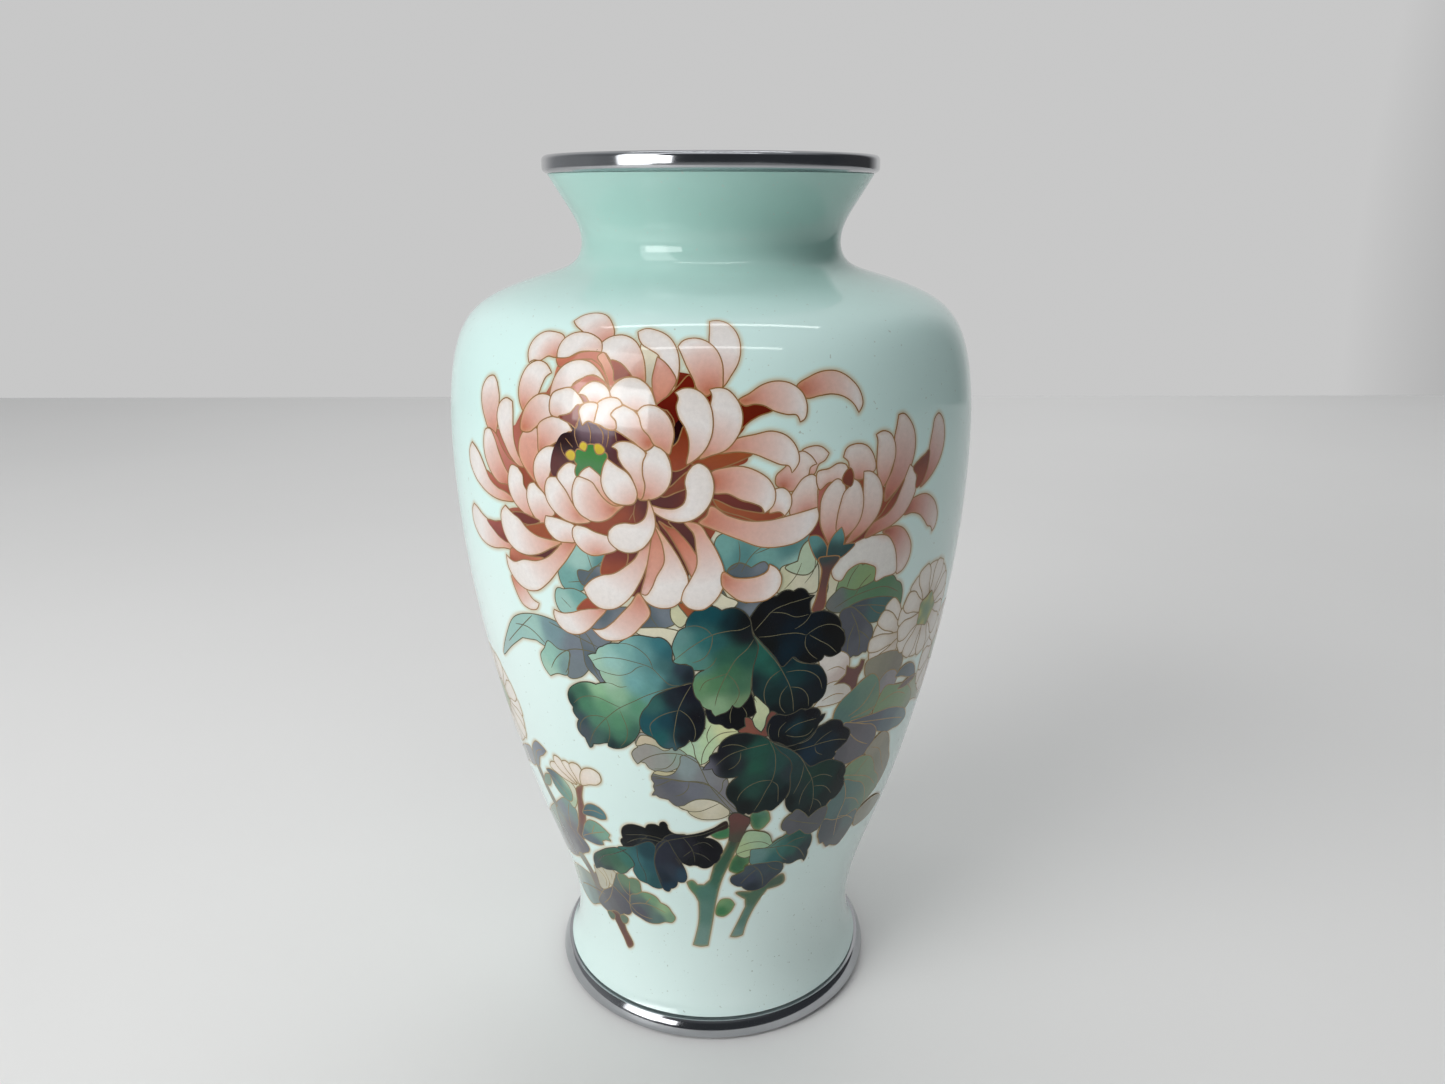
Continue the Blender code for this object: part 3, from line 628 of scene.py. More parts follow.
def veins(text, width=0.2, lift=0.0):
    """Fine wires, 'x,y x,y; x,y x,y', on top of whatever enamel lies there, thinner at their ends."""
    for points in text.split(";"):
        line = smooth_line(spots(points), False, VEIN_STEP)
        level = 0
        for other, low, high, number in laid:
            if number >= level and inside(line, other).any():
                level = number
        ends = np.minimum(np.arange(len(line)), np.arange(len(line))[::-1])
        widths = width * (0.45 + 0.55 * np.minimum(ends / 3.0, 1.0))
        motif_veins.append((line, False, widths, LOWEST + LAYER * level + VEIN_LIFT + lift))


def end_motif(name, mat, ring_mat=None):
    """Join the motif's wires into one piece, or two where the outer wires differ."""
    if ring_mat is None:
        strips(name + "_wires", motif_rings + motif_veins, mat)
    else:
        strips(name + "_wires", motif_rings, ring_mat)
        strips(name + "_veins", motif_veins, mat)
    motif_rings.clear()
    motif_veins.clear()


ROOT = rgb(182, 97, 66)
ROSE = rgb(211, 157, 140)
BLUSH = rgb(222, 194, 184)
PETAL_WHITE = rgb(231, 226, 222)
TIP = rgb(226, 219, 213)
EDGE = rgb(212, 174, 132)
WINE = rgb(78, 14, 8)
MAROON = rgb(108, 32, 16)
RUST = rgb(140, 60, 28)
AMBER = rgb(150, 76, 34)
SALMON = rgb(198, 120, 94)
ROSEWOOD = rgb(172, 98, 84)
# mauve-grey: a painted reflection of the window, laid on the top of the bloom's dark hollow
MAUVE_REFLECTION = rgb(120, 98, 108)
NIGHT = rgb(38, 6, 10)

WHITE = along([(0.0, ROSE), (0.25, BLUSH), (0.55, PETAL_WHITE), (1.0, TIP)])
LIGHT = along([(0.0, ROOT), (0.2, ROSE), (0.46, BLUSH), (0.74, PETAL_WHITE), (1.0, TIP)])
PINK = along([(0.0, ROOT), (0.32, ROSE), (0.66, BLUSH), (0.92, PETAL_WHITE), (1.0, TIP)])
DEEP = along([(0.0, ROOT), (0.4, rgb(208, 143, 120)), (0.8, ROSE), (1.0, BLUSH)])


def petal(name, root, ramp_colour, text, edge=EDGE, width=0.29, replaced=None):
    """A petal shaded from its root, with its wire."""
    ring(*cell(name, spots(text), petal_paint(root, ramp_colour, edge), replaced), width)


def patch(name, washes, text, edge=None, width=0.28, replaced=None, wired=True):
    """An enamel with (x, y, colour) washes, with its wire."""
    loop, top = cell(name, notched(spots(text)), wash_paint(washes, edge), replaced)
    if wired:
        ring(loop, top, width)


def leaf(name, tints, text, replaced=None):
    """A dark leaf enamel; tints reads 'x,y,r,g,b ...' with display colours."""
    washes = []
    for token in tints.split():
        x, y, r, g, b = (float(v) for v in token.split(","))
        washes.append((x, y, rgb(r, g, b)))
    ring(*cell(name, spots(text), wash_paint(washes), replaced, leaf_enamel), 0.26)


def plain(name, colour, text, deep=None, edge=None, width=0.28, wired=True, replaced=None):
    """An enamel of one colour, deepening downwards."""
    points = np.array([p[:2] for p in spots(text)])
    low, high = points.min(axis=0), points.max(axis=0)
    other = colour * 0.72 if deep is None else deep
    spread = [(low[0], high[1], colour), (high[0], high[1], colour),
              (low[0], low[1], other), (high[0], low[1], other)]
    patch(name, spread, text, edge, width, replaced, wired)


# ---------------------------------------------------------------- leaves behind the blooms
TEAL = rgb(72, 124, 124)
PALE_TEAL = rgb(150, 190, 180)
SEA = rgb(104, 156, 150)
PINE = rgb(22, 62, 62)
SLATE = rgb(76, 90, 98)
VIOLET = rgb(106, 116, 126)
CREAM = rgb(214, 210, 184)
BEIGE = rgb(198, 198, 162)
STEM = rgb(98, 54, 46)

patch("shade_leaf_teal", [(-32, 152, PALE_TEAL), (-26, 151, TEAL), (-36, 146, SEA), (-30, 146, TEAL),
                          (-24, 155, SEA)],
      "-33.5,158 -29,156 -25,156 -22,157.5 -23.5,153 -26,149 -29,147.5 -31,144.7 -34,143.3 "
      "-37.5,143.8 -38.8,147.5 -37.5,152")
patch("shade_leaf_slate", [(-28, 148, SLATE), (-32, 148, SLATE), (-26, 150, VIOLET)],
      "-33,149 -30,149.2 -27,151 -24.5,150.5 -26,147.5 -29.5,145.5 -32,145.5", width=0.3)
patch("shade_leaf_pale", [(-37, 140, PALE_TEAL), (-34, 142, SEA)],
      "-39.5,143.4 -40.7,140.5 -39.6,137.2 -36,137 -33.2,138.5 -31,142.5 -34.5,144 -37.8,143.4c")
patch("shade_leaf_violet", [(-27, 139, SLATE), (-23, 137, VIOLET), (-30, 133, VIOLET)],
      "-30.5,142 -27,142.5 -23,141 -20,141 -19,138.5 -22,133 -26,131.5 -30.5,130 -34,131 -33,134 "
      "-30,135")
patch("shade_leaf_dusk", [(-15, 138, SLATE), (-11, 140, VIOLET), (-18, 136, SLATE)],
      "-18,144 -14,144 -10,143.5 -8.6,142 -8.7,138 -12,136.2 -16,135.3 -20,134.8 -19.5,138")
patch("shade_fold_mid", [(-7, 139, BEIGE)], "-9.3,142.8 -6.5,144 -4,142.7 -5.3,139.5 -7.8,136.8 "
      "-9.6,138.5")
patch("shade_fold_mid_brown", [(-6, 142, AMBER)], "-8,143 -5.5,143.2 -3.5,142.4 -5.3,139.2 -6.7,140.8",
      width=0.3)
patch("shade_fold_low", [(-13, 134.8, CREAM)], "-19.5,135.2 -15,136.3 -11,136.4 -7.8,135.4 "
      "-7.5,133.2 -10,131 -14,133.5 -17.5,134")
patch("east_leaf_teal", [(3, 157, SEA), (7, 155, TEAL), (12, 155, SEA), (18, 156, TEAL),
                         (20, 152, PALE_TEAL)],
      "1.5,160 5,161 8,159.2 12,158 18,158 22.5,159.5 22.9,154 20,151.2 16.5,150.8 13,151.8 "
      "9,150 5,149.5 2,151.5")
patch("east_leaf_slate", [(6, 151.5, SLATE), (11, 152, VIOLET), (8, 153, SLATE)],
      "3.5,151.5 6,153.3 9,152 12.3,153.2 13.3,151.2 10,148.8 5,148.8", width=0.3)
patch("east_fold_a", [(20, 148, CREAM), (17, 148, BEIGE), (23, 152, rgb(196, 200, 176))],
      "16,151.5 19,152.5 22,153.5 24.5,152.5 25.6,148 25.2,144.5 21,144.5 17,144 15,146 15.7,148.5")
patch("east_fold_b", [(21, 152, rgb(176, 196, 168))], "17,151.5 20,152.8 21.8,157.3 23.8,158.3 "
      "24.6,155.5 24.9,151.5 23,149.3 20,149.5", width=0.32)
patch("low_slate", [(6, 143, SLATE), (9, 141, VIOLET)], "1.8,147.5 3.5,144.8 8,143 12.5,143.8 "
      "12.3,141 9.5,138.2 6,140 2.5,142.5")
patch("cream_gap", [(2, 144, CREAM)], "-0.5,143.6 1.5,146.2 3.2,145 6,143.3 4.5,141.6 1,141.8")
patch("east_fold_c", [(29, 146, CREAM), (31, 147, BEIGE)], "27.8,150.3 30.5,149.3 32.7,145.8 "
      "31,144.6 28.6,139.5 27.3,139.5 28.3,145")
veins("6.7,151 9.5,155.5 13,158; 1.5,151 5.5,152.5 6,158.5; 9.7,155.3 15,157.3; 17,146 19.8,149.3 "
      "21,152.3; 22,147 24.3,150.5 24.3,154; -31.5,146 -28.5,150 -24.5,153.5; -28.8,149.3 -30,153.5; "
      "-36,145.5 -31.5,146.5; -38.7,141 -36,138.7; -13,136.5 -15,141 -14,143")
end_motif("shade_leaves", WIRE_FINE)

# ---------------------------------------------------------------- pale leaf under the dark ones
patch("mist_top", [(4, 106, rgb(206, 212, 160)), (-2, 104, rgb(176, 204, 160)),
                   (-6, 103, rgb(170, 200, 170))],
      "-3.5,112 2,111 8,109 10,107 5,105 1,102 -2,97 -6,96 -11,97.5 -12.5,101.5 -9,101.5 -5.5,104.5 "
      "-2,108", replaced="leaf_mist")
patch("mist_upper", [(-14, 97, rgb(140, 144, 138)), (-20, 98, rgb(144, 142, 136)),
                     (-10, 99, rgb(134, 154, 142))],
      "-20.2,105.3 -21.5,103.5 -22,102 -21.4,100.4c -22.6,99.5 -23.5,98 -23.2,96.5 -22.1,94.8c "
      "-21,95.7 -19.6,95.5c -18.5,93.9 -17,93.3 -15.3,93 -13,93.4 -9.5,95.5 -7,99 -9,101 -13,102.5 "
      "-17,104.8")
patch("mist_mid", [(-8, 95, rgb(128, 144, 144)), (-2, 92, rgb(118, 122, 126)), (2, 87, rgb(112, 112, 118)),
                   (-13, 92.5, rgb(104, 108, 112)), (3, 92, rgb(120, 120, 122))],
      "-18.2,91.4 -17.6,92.4c -13,92.6 -10.8,93.8 -9.4,96.5 -9,98.9 -7,99.4 -5,98.4 -3.5,95.8 -1,95.2 "
      "4,92 5,86 7.5,81.5 5,79.5 2,83 -2,88 -9,90")
patch("mist_low", [(-14, 88, rgb(82, 84, 94)), (-16, 86, rgb(94, 94, 98)), (-6, 87, rgb(100, 104, 114)),
                   (-10, 83.5, rgb(88, 90, 96)), (0, 86, rgb(104, 108, 112)), (4, 82, rgb(116, 116, 116))],
      "-18.2,91.2 -18.3,90.2c -17.6,89 -18,87.8c -17.7,86.5 -18.8,84.7c -17.4,84.9 -16.4,84.2 -15,84 "
      "-13.7,83.8c -12.6,82.6 -11.5,81.8 -10.3,81.6 -9,82 -7.3,83.3 -5.5,84.3 -3,84.7 0,84.3 2.5,83 "
      "4.7,80.8 6.3,78.6 7.6,79.3 5,83 2,86.5 -1,89.3 -4,90.3 -8,90.6 -12,91 -15,91.2")
patch("mist_fold_top", [(-19, 103, rgb(190, 178, 152)), (-14, 101, rgb(176, 176, 148))],
      "-21.8,101 -21.2,102.9 -20,104.4 -18,104.5 -16,103.6 -14.5,102 -12,100.9 -13.5,100.3 -16,101.5 "
      "-19,101.9", width=0.28)
patch("mist_fold_low", [(-15, 92.6, rgb(186, 178, 142))], "-17.6,92.5 -16.8,93.2 -13.5,93.3 "
      "-10.9,93.6 -12.5,92.4 -16,92", width=0.26)
patch("fold_cream", [(0, 81, rgb(206, 200, 178)), (-6, 79.5, rgb(188, 180, 150)),
                     (3, 79, rgb(196, 190, 164)),
                     (-5, 83, rgb(200, 196, 176))],
      "-10.6,81.6 -9.6,80.8 -8,80.5c -7.3,79.3 -6,78.3 -4,77.5 0,77.3 3,77.8 5,78.8c 5.2,80 3.5,82 "
      "1,83.8 -2,84.6 -5,84.4 -7.5,83.2 -9,82.1", replaced="leaf_fold")
veins("6.8,78.8 4,82.5 1,86.5 -1.5,90.3 -3,94 -4,96.5 -5,99.5 -5.3,102 -6.2,104.3; -3.5,96.3 -5.5,97.8 "
      "-8,99.2 -12,99.6 -16,98.8 -19.5,97 -22,95; -3.2,96 -3,99 -2.2,101.5 -1,103.5 2,106.2 6.5,106.8; "
      "-1.2,103.4 -1.6,105.5 -0.4,109; -0.7,89.4 -2.5,90.3 -5,90.7 -9,90.5 -14,91 -17.8,90.5; -7,90.4 "
      "-7.3,88.5 -9,86.3 -11.5,85.2; 1.3,86.2 2.6,88 3.2,91 5.5,92.2; -10.2,99.4 -11.5,96.5 -13.5,94.6 "
      "-17,94; -10.3,81.4 -7,80.1 -4,80.3 -1,81.6 2,83.2; -12,91 -15,89.2 -18,87.8", 0.26)
end_motif("leaf_mist", WIRE_FINE)

# ---------------------------------------------------------------- pale leaves behind on the left
patch("pale_leaf_back", [(-50, 130, PALE_TEAL), (-44, 131, rgb(108, 138, 144)), (-36, 128, VIOLET),
                         (-60, 126, rgb(144, 186, 178)), (-36, 121, rgb(104, 116, 122)),
                         (-66, 120, rgb(150, 180, 176))],
      "-70,116 -64,124.5 -58,131 -50,134 -42,134 -36,132 -32,130.5 -29.5,128.5 -31.5,125 -33.5,121.5 "
      "-36,119.2 -40,118.2 -42,121 -45,125 -50,126.5 -56,125.5 -62,121.5", replaced="leaf_pale")
patch("pale_leaf_low", [(-45, 122, rgb(140, 188, 172)), (-41, 121, rgb(108, 138, 138)),
                        (-47, 119, rgb(160, 196, 176))],
      "-45.5,127.5 -42,126 -38.5,126 -39.5,122 -40.5,118.8 -44,118.3 -47,116.8c -49,119.3 -49.3,122.5 "
      "-47.3,125")
patch("pale_leaf_east", [(-31, 124, SLATE), (-29, 120.5, VIOLET), (-27, 131, VIOLET)],
      "-33.8,133.5 -29,134 -25,132 -27,130 -30,128 -28,124 -28.5,119.5 -30,118.8c -31.5,120.5 "
      "-33.5,122.5 -34,127")
veins("-29.5,129.2 -37,131.5 -44,133.2; -30.5,127.5 -38,126.8 -43,123.5 -46,119.5; -38.5,126.7 -39.3,122 "
      "-41,119.3; -50,133.5 -56,128.5 -64,122; -46.5,126.3 -52,129.5 -58,129; -31,127 -31.5,123.5 "
      "-30,120; -33,133 -31,130 -30.2,127.8", 0.28)
end_motif("leaf_pale", WIRE_FINE)

# ---------------------------------------------------------------- green leaf right of the crown
patch("glade_upper", [(38, 147, rgb(124, 154, 104)), (34, 147.5, rgb(120, 150, 108)),
                      (40, 145, rgb(130, 158, 104))],
      "31,146 31.3,147.3c 32.5,148.4 33.5,149.3 35,149.9 36.8,150.2 37.7,149.4c 39.5,149.7 41,149 "
      "41.9,147.8 42,146 41.5,144.3 40,143 36,141 31,141.5 30.5,144", replaced="leaf_glade")
patch("glade_main", [(44, 142, rgb(72, 118, 80)), (36, 142.5, rgb(78, 120, 84)), (50, 139, rgb(84, 122, 88)),
                     (31, 141.5, rgb(96, 104, 104)), (28.5, 141, rgb(104, 108, 104))],
      "28,140.5 28.6,141.8 30,143.2 32,144.6 34,143.8 36,143.2 40,144 43,144.9 46,145.2 48.5,144.4 "
      "49.8,142.8c 51.5,141.8 52.6,139.8 52.9,137.5 52.8,135.7c 50,137.5 46,139 42,139.6 38,139.3 "
      "34,138 31,138")
patch("glade_teal", [(44, 137, rgb(46, 92, 90)), (49, 136, rgb(46, 88, 82)), (38, 138, rgb(58, 70, 80))],
      "34.5,138.7 38,139.9 42,140 46,139.4 50,138 52.8,135.7c 51,136 49.4,134.9c 48.6,133.9 47,133.1 "
      "45,132.8 43,132.9 41,133.4 37.5,135.5")
patch("glade_slate", [(38, 132, rgb(68, 72, 82)), (40, 127, rgb(78, 82, 92)), (35, 136, rgb(70, 74, 84)),
                      (42, 130, rgb(84, 88, 96))],
      "33,138.5 35,138.9 38.5,136.5 41,134 42.5,132.5c 43.4,131 43.6,129.2 43,127.9c 43,126.2 "
      "42.2,124.7c 41,125 39.5,124.3 38,124.7c 36.5,124.1 35,124.6 34,126 33.5,127.5 33.5,130.5")
veins("30.5,139.3 35,141.3 40,142.2 45,142.3 51,139.5; 36,141.5 38,144.5 40.5,146.5; 33.5,144 34.5,147 "
      "36.5,149.5; 36.5,138.8 42,138 47,136.5 50,135.5; 41,138.2 44,135.5 47,134.5; 35.5,137.5 38,133 "
      "39.5,128 39.5,125.5; 38.2,132 41,130 42.7,128.3; 37.2,134 35.8,130 36,126", 0.24)
end_motif("leaf_glade", WIRE_FINE)


# ---------------------------------------------------------------- daisies
DAISY = rgb(228, 222, 212)
DAISY_SHADE = rgb(206, 194, 180)


def daisy_petal(name, cx, cy, eye, reach, angle, width, replaced=None):
    """One rounded petal pointing away from (cx, cy)."""
    a = math.radians(angle)
    out = (math.cos(a), math.sin(a))
    side = (-out[1], out[0])
    shape = ((eye * 0.7, 0.10), (eye + 0.35 * (reach - eye), 0.36), (eye + 0.72 * (reach - eye), 0.50),
             (reach - 0.3, 0.34), (reach, 0.0))
    right = [(cx + r * out[0] + w * width * side[0], cy + r * out[1] + w * width * side[1])
             for r, w in shape]
    left = [(cx + r * out[0] - w * width * side[0], cy + r * out[1] - w * width * side[1])
            for r, w in shape[-2::-1]]
    outline = [(x, y, 0) for x, y in right + left]
    shade = along([(0.0, DAISY_SHADE * 0.75), (0.3, DAISY_SHADE), (0.65, DAISY), (1.0, DAISY * 0.97)])
    ring(*cell(name, outline, petal_paint((cx, cy), shade, rgb(196, 170, 130)), replaced))


def daisy_eye(name, cx, cy, radius, replaced=None):
    """A green and yellow eye with a lobed edge."""
    outline = [(cx + radius * (1.0 + 0.12 * math.cos(5 * a)) * math.cos(a),
                cy + radius * (1.0 + 0.12 * math.cos(5 * a)) * math.sin(a), 0)
               for a in np.arange(15) * math.tau / 15]
    yellow, green = rgb(190, 180, 84), rgb(90, 128, 92)
    dots = [(cx, cy, green), (cx + 1, cy - 1, green), (cx - 1, cy + 1, green)]
    dots += [(cx + radius * math.cos(a), cy + radius * math.sin(a), yellow if k % 2 else green)
             for k, a in enumerate(np.arange(10) * math.tau / 10)]
    ring(*cell(name, outline, wash_paint(dots), replaced))


def daisy(name, cx, cy, eye, reach, count, start, sweep, petal_node=None, eye_node=None):
    """Petals every other one first, so that neighbours overlap, then the eye."""
    step = sweep / count
    for k in list(range(0, count, 2)) + list(range(1, count, 2)):
        length = reach * (1.0 - 0.06 * ((k * 7) % 5) / 4.0)
        angle = start + k * step + 2.0 * math.sin(3.1 * k)
        daisy_petal("%s_petal_%02d" % (name, k), cx, cy, eye, length, angle,
                    2.3 * reach * math.sin(math.radians(abs(step)) / 2.0),
                    petal_node if k == 0 else None)
    if eye_node:
        daisy_eye(name + "_eye", cx, cy, eye, eye_node)


patch("edge_leaf_east", [(72, 104, rgb(150, 160, 130)), (80, 98, rgb(160, 164, 140))],
      "66,106 72,108 80,105 86,100 84,97 76,99 70,101")
daisy("daisy_edge", 85.0, 112.5, 4.0, 14.0, 14, 0.0, 360.0)
daisy_eye("daisy_edge_eye", 85.0, 112.5, 4.0)
daisy("daisy_behind", 57.0, 126.0, 3.0, 14.5, 7, 128.0, 118.0, "daisy_behind")
patch("behind_petal_upper", [(32, 124, rgb(226, 220, 212)), (35, 120, rgb(196, 180, 172))],
      "27.8,126.3 33,127.2 36.8,124.6 37,121 34.5,118.3 31,117.5 29.5,120.5")
patch("behind_petal_lower", [(31, 113, rgb(214, 214, 206)), (36, 115, rgb(202, 196, 186))],
      "31,117.8 34,118.2 37.2,117 39.3,113.3 36,111.5 33,111.2 29,111.5 27,110.5 29.3,114")
patch("olive_gap", [(50, 118, rgb(128, 126, 108)), (46, 119, rgb(140, 138, 118)),
                    (56, 117, rgb(120, 116, 102))],
      "43,121.5 47,122.5 54,122 58,120 59,116 57,113.5 52,113 47,114.5 43.5,117.5")
patch("grey_lobe", [(54, 112, rgb(142, 138, 140)), (50, 113, rgb(128, 130, 130))],
      "49.5,113.5 52,116 56,115.5 58,113 57.5,110.5 53,109.3 50,110.5")
daisy("daisy_east", 66.8, 130.0, 4.6, 14.2, 17, 4.0, 360.0, "daisy_east", "daisy_east_eye")
patch("bract_star", [(38, 119, rgb(102, 58, 52)), (35, 117.5, rgb(92, 52, 46)), (41, 122, rgb(98, 56, 48))],
      "33.1,117.2c 35,118.4 36.4,119.7 36.4,122.3c 37.8,121.3 39.2,120.8 40.5,121.2 41,122.9c 42.3,122.4c "
      "42,120 41,118 40.9,116 41.2,113.2c 39.8,113.8 38.5,115.5 36.5,117 34.5,117.3",
      replaced="bract_star")
patch("meadow_west", [(39, 111, rgb(78, 118, 104)), (45, 113, rgb(92, 126, 108)),
                      (37, 107, rgb(74, 112, 104)),
                      (50, 107, rgb(104, 132, 104)), (46, 116, rgb(98, 134, 112))],
      "35,105 34.8,109 36.5,111.8 39.5,114 43,116.5 46,117.4 48.7,115.5 50.3,112 51,108 49,104.5 "
      "44,102.8 39,103", replaced="leaf_meadow")
patch("meadow_east", [(56, 108, rgb(112, 142, 100)), (64, 104, rgb(118, 146, 104)),
                      (70, 101, rgb(126, 144, 112))],
      "50,103 51,108 53,111.3 58,110.3 63,109 68,106 71,103 71.8,99.5 68,98.5 62,101 56,102.3")
patch("meadow_blue", [(48, 102, rgb(78, 86, 98)), (58, 99, rgb(76, 98, 108)), (67, 97, rgb(92, 118, 120)),
                      (52, 101, rgb(74, 84, 98))],
      "41,103.8 45,104 50,103.7 58,102.9 65,100.5 70,97.7 72,94.5 69,93.5 64,94 60,94.3 55,96.3 48,100 "
      "43.5,101.5")
patch("bud_leaf", [(60, 114, rgb(80, 96, 100)), (66, 112, rgb(84, 100, 108))],
      "57,113 60,115.2 65,114.7 69,111 70,108.6 66,109.8 60,112.2")
patch("bud_streak", [(65, 108.5, rgb(92, 76, 70))], "60,108.3 64,109.7 70.5,109 66,107.6", width=0.3)
patch("dusk_lobe", [(44, 96, rgb(94, 92, 98)), (50, 94, rgb(88, 88, 96)), (42, 101, rgb(88, 86, 92)),
                    (40, 94, rgb(80, 80, 86))],
      "39,104 43,103 47,101.5 51,100 53.8,97 54,94.5 52.5,92.2 50.5,90.3 48,90 43,89.3 37.5,93 "
      "40,98.5", replaced="leaf_dusk")
patch("rim_fold", [(56, 93, rgb(142, 138, 118)), (62, 86, rgb(132, 130, 112)), (66, 78, rgb(126, 126, 106)),
                   (59, 84, rgb(120, 122, 100))],
      "51,90.5 53.5,93.5 57,95.2 61,93.7 64,90 66,86 69,81.5 69.3,78.3 66,73.5 61,78 57,84 53,88.5",
      replaced="leaf_rim_fold")
patch("tide_top", [(47, 87, rgb(112, 140, 102)), (54, 86, rgb(116, 140, 104)), (46, 83, rgb(94, 126, 100)),
                   (60, 76, rgb(104, 128, 96)), (63, 73, rgb(110, 132, 102))],
      "43.2,87.5 46,89.3 50,89.8 54,88.5 57.5,85 60,81 64,77.5 66,73.2 62,70.8 58,69.5 55,75 48,80 "
      "44,83.5", replaced="leaf_tide")
patch("tide_mid", [(50, 79, rgb(76, 112, 104)), (44, 74, rgb(70, 104, 102)), (54, 72, rgb(80, 114, 100)),
                   (48, 70, rgb(66, 94, 94)), (57, 72, rgb(92, 124, 100))],
      "44.2,83.3 49,81.5 54,79 57.5,74.5 58.7,69.5 55,66.5 49,66 43,67.5 39.2,70 39,76 42,79.5")
patch("tide_low", [(46, 65, rgb(64, 72, 78)), (52, 66, rgb(72, 96, 94)), (42, 66, rgb(62, 72, 78)),
                   (50, 60, rgb(78, 84, 84))],
      "39.3,70.5 44,69 50,68.3 56,68.5 57.3,65 56,61.5c 54,58.5 51.5,56.6 48.5,57.3c 46.5,58.3 44.8,58.1 "
      "43.5,59.3 42.2,60.8c 41,60.7 39.8,62.5 38.7,64.5 38.6,67")
patch("edge_fold_east", [(62, 66, rgb(134, 134, 116)), (70, 64, rgb(142, 146, 128))],
      "57,67 62,69 70,68 76,64 72,61.5 64,60.5 58,61.5")
veins("43,85.5 49,83.5 56,80.5 63,75; 44,83.5 47,76 46,69 47,62; 47,76 53,73.5 56.5,70; 49,83.5 52,87 "
      "54,88; 40,106 45,108.5 48.5,114; 41,105 46,105.5 51,106.3; 52,106.5 58,107.5 66,104.5; 43.5,103 "
      "52,101 61,98.5 69,95.5; 40.5,101.5 45,97 51,93.5; 53.5,91.5 58,89.5 63,83 67,78; 30,113 34,114.3 "
      "37,113.6; 30.5,122 33.5,122.5 36,121; 46,69.5 51,68 55.5,65", 0.28)
end_motif("east_group", WIRE_GOLD)

# ---------------------------------------------------------------- the sprig on the left
daisy("daisy_far", -84.0, 98.0, 4.8, 15.3, 17, 4.0, 360.0, "daisy_far", "daisy_far_eye")
patch("far_leaf", [(-80, 80, rgb(150, 152, 150)), (-74, 82, rgb(134, 138, 140))],
      "-71,85 -76,84 -84,80 -90,76 -88,74 -80,76.5 -73,78 -70.5,80")
patch("sprig_wing_far", [(-78, 56, rgb(132, 144, 136)), (-72, 50, rgb(122, 124, 126)),
                         (-84, 52, rgb(150, 160, 148)),
                         (-74, 62, rgb(140, 156, 142))],
      "-66,66.5 -72,63.5 -80,58 -88,54 -88,46 -80,43 -74,43.5 -67,45.5 -61,48.5 -62,57")
patch("sprig_wing", [(-60, 68, rgb(116, 126, 134)), (-56, 71, rgb(112, 142, 134)),
                     (-60, 60, rgb(104, 100, 104)),
                     (-58, 53, rgb(92, 90, 96)), (-64, 52, rgb(112, 112, 114)),
                     (-65, 64, rgb(122, 134, 128)),
                     (-53, 55, rgb(84, 86, 94))],
      "-66.5,66 -61,70.5 -57.5,72.6 -54,73 -51.8,70.5 -52.5,66 -53.5,62 -54.5,58.5 -52.3,54.5 -53.5,53 "
      "-57,51 -61,48.7 -65,46.8 -69.5,46.5 -70.5,52 -69,60", replaced="sprig_leaf_wing")
patch("sprig_tail", [(-58, 36, rgb(98, 98, 102)), (-66, 32, rgb(112, 130, 126)),
                     (-74, 28, rgb(132, 156, 150)),
                     (-62, 38, rgb(128, 138, 124)), (-78, 36, rgb(156, 168, 150))],
      "-51,27.8 -60,28.3 -70,24.8 -80,26.3 -86,30 -82,35 -75,38.5 -66,40.5 -58,40 -53,35.5",
      replaced="sprig_leaf_tail")
patch("sprig_stalk_mid", [(-59, 44, rgb(110, 100, 92)), (-61, 47, rgb(128, 132, 118))],
      "-63.5,48 -60,49.5 -57.8,46 -56.5,42.5 -54.5,43.8 -53.5,43 -55.3,40 -56,36 -59.5,36.5 -60.5,42",
      width=0.3)
patch("sprig_fold_a", [(-50, 45, rgb(190, 184, 160)), (-53, 42, rgb(180, 176, 156))],
      "-53.8,47 -51,48.5 -47.5,48.8 -46.5,45 -48,41 -51.5,37.8 -55,37.3 -54.8,42", replaced="sprig_fold")
patch("sprig_fold_b", [(-45, 46, rgb(188, 184, 162))], "-48,48.7 -45,49.5 -41.5,48.8 -40.5,46.5 "
      "-43,43.5 -46.8,41 -47.3,45")
patch("sprig_lobe_shade", [(-45, 36, rgb(78, 76, 84)), (-50, 33, rgb(86, 86, 90)),
                           (-40, 38, rgb(72, 74, 84)),
                           (-41, 44, rgb(84, 100, 92)), (-56, 31, rgb(96, 98, 100))],
      "-40,49 -37.5,47 -36.8,42 -37.5,36 -38.5,32.8 -41,30.6 -44,30.2 -47,28.3 -52,27.2 -57,27.5 "
      "-61.5,29 -58,33 -54,36.5 -50,38.8 -46.5,41 -43,45.5", replaced="sprig_leaf_keel")
patch("sprig_lobe_green", [(-36, 46, rgb(92, 122, 92)), (-33, 43, rgb(98, 128, 98)),
                           (-37, 40, rgb(70, 74, 82))],
      "-40.3,48.5 -38,49.6 -35,48.2 -32.5,49 -30.6,48.6 -30.4,44.5 -30.8,41.5 -34,40 -38,40.5 "
      "-40.5,44")
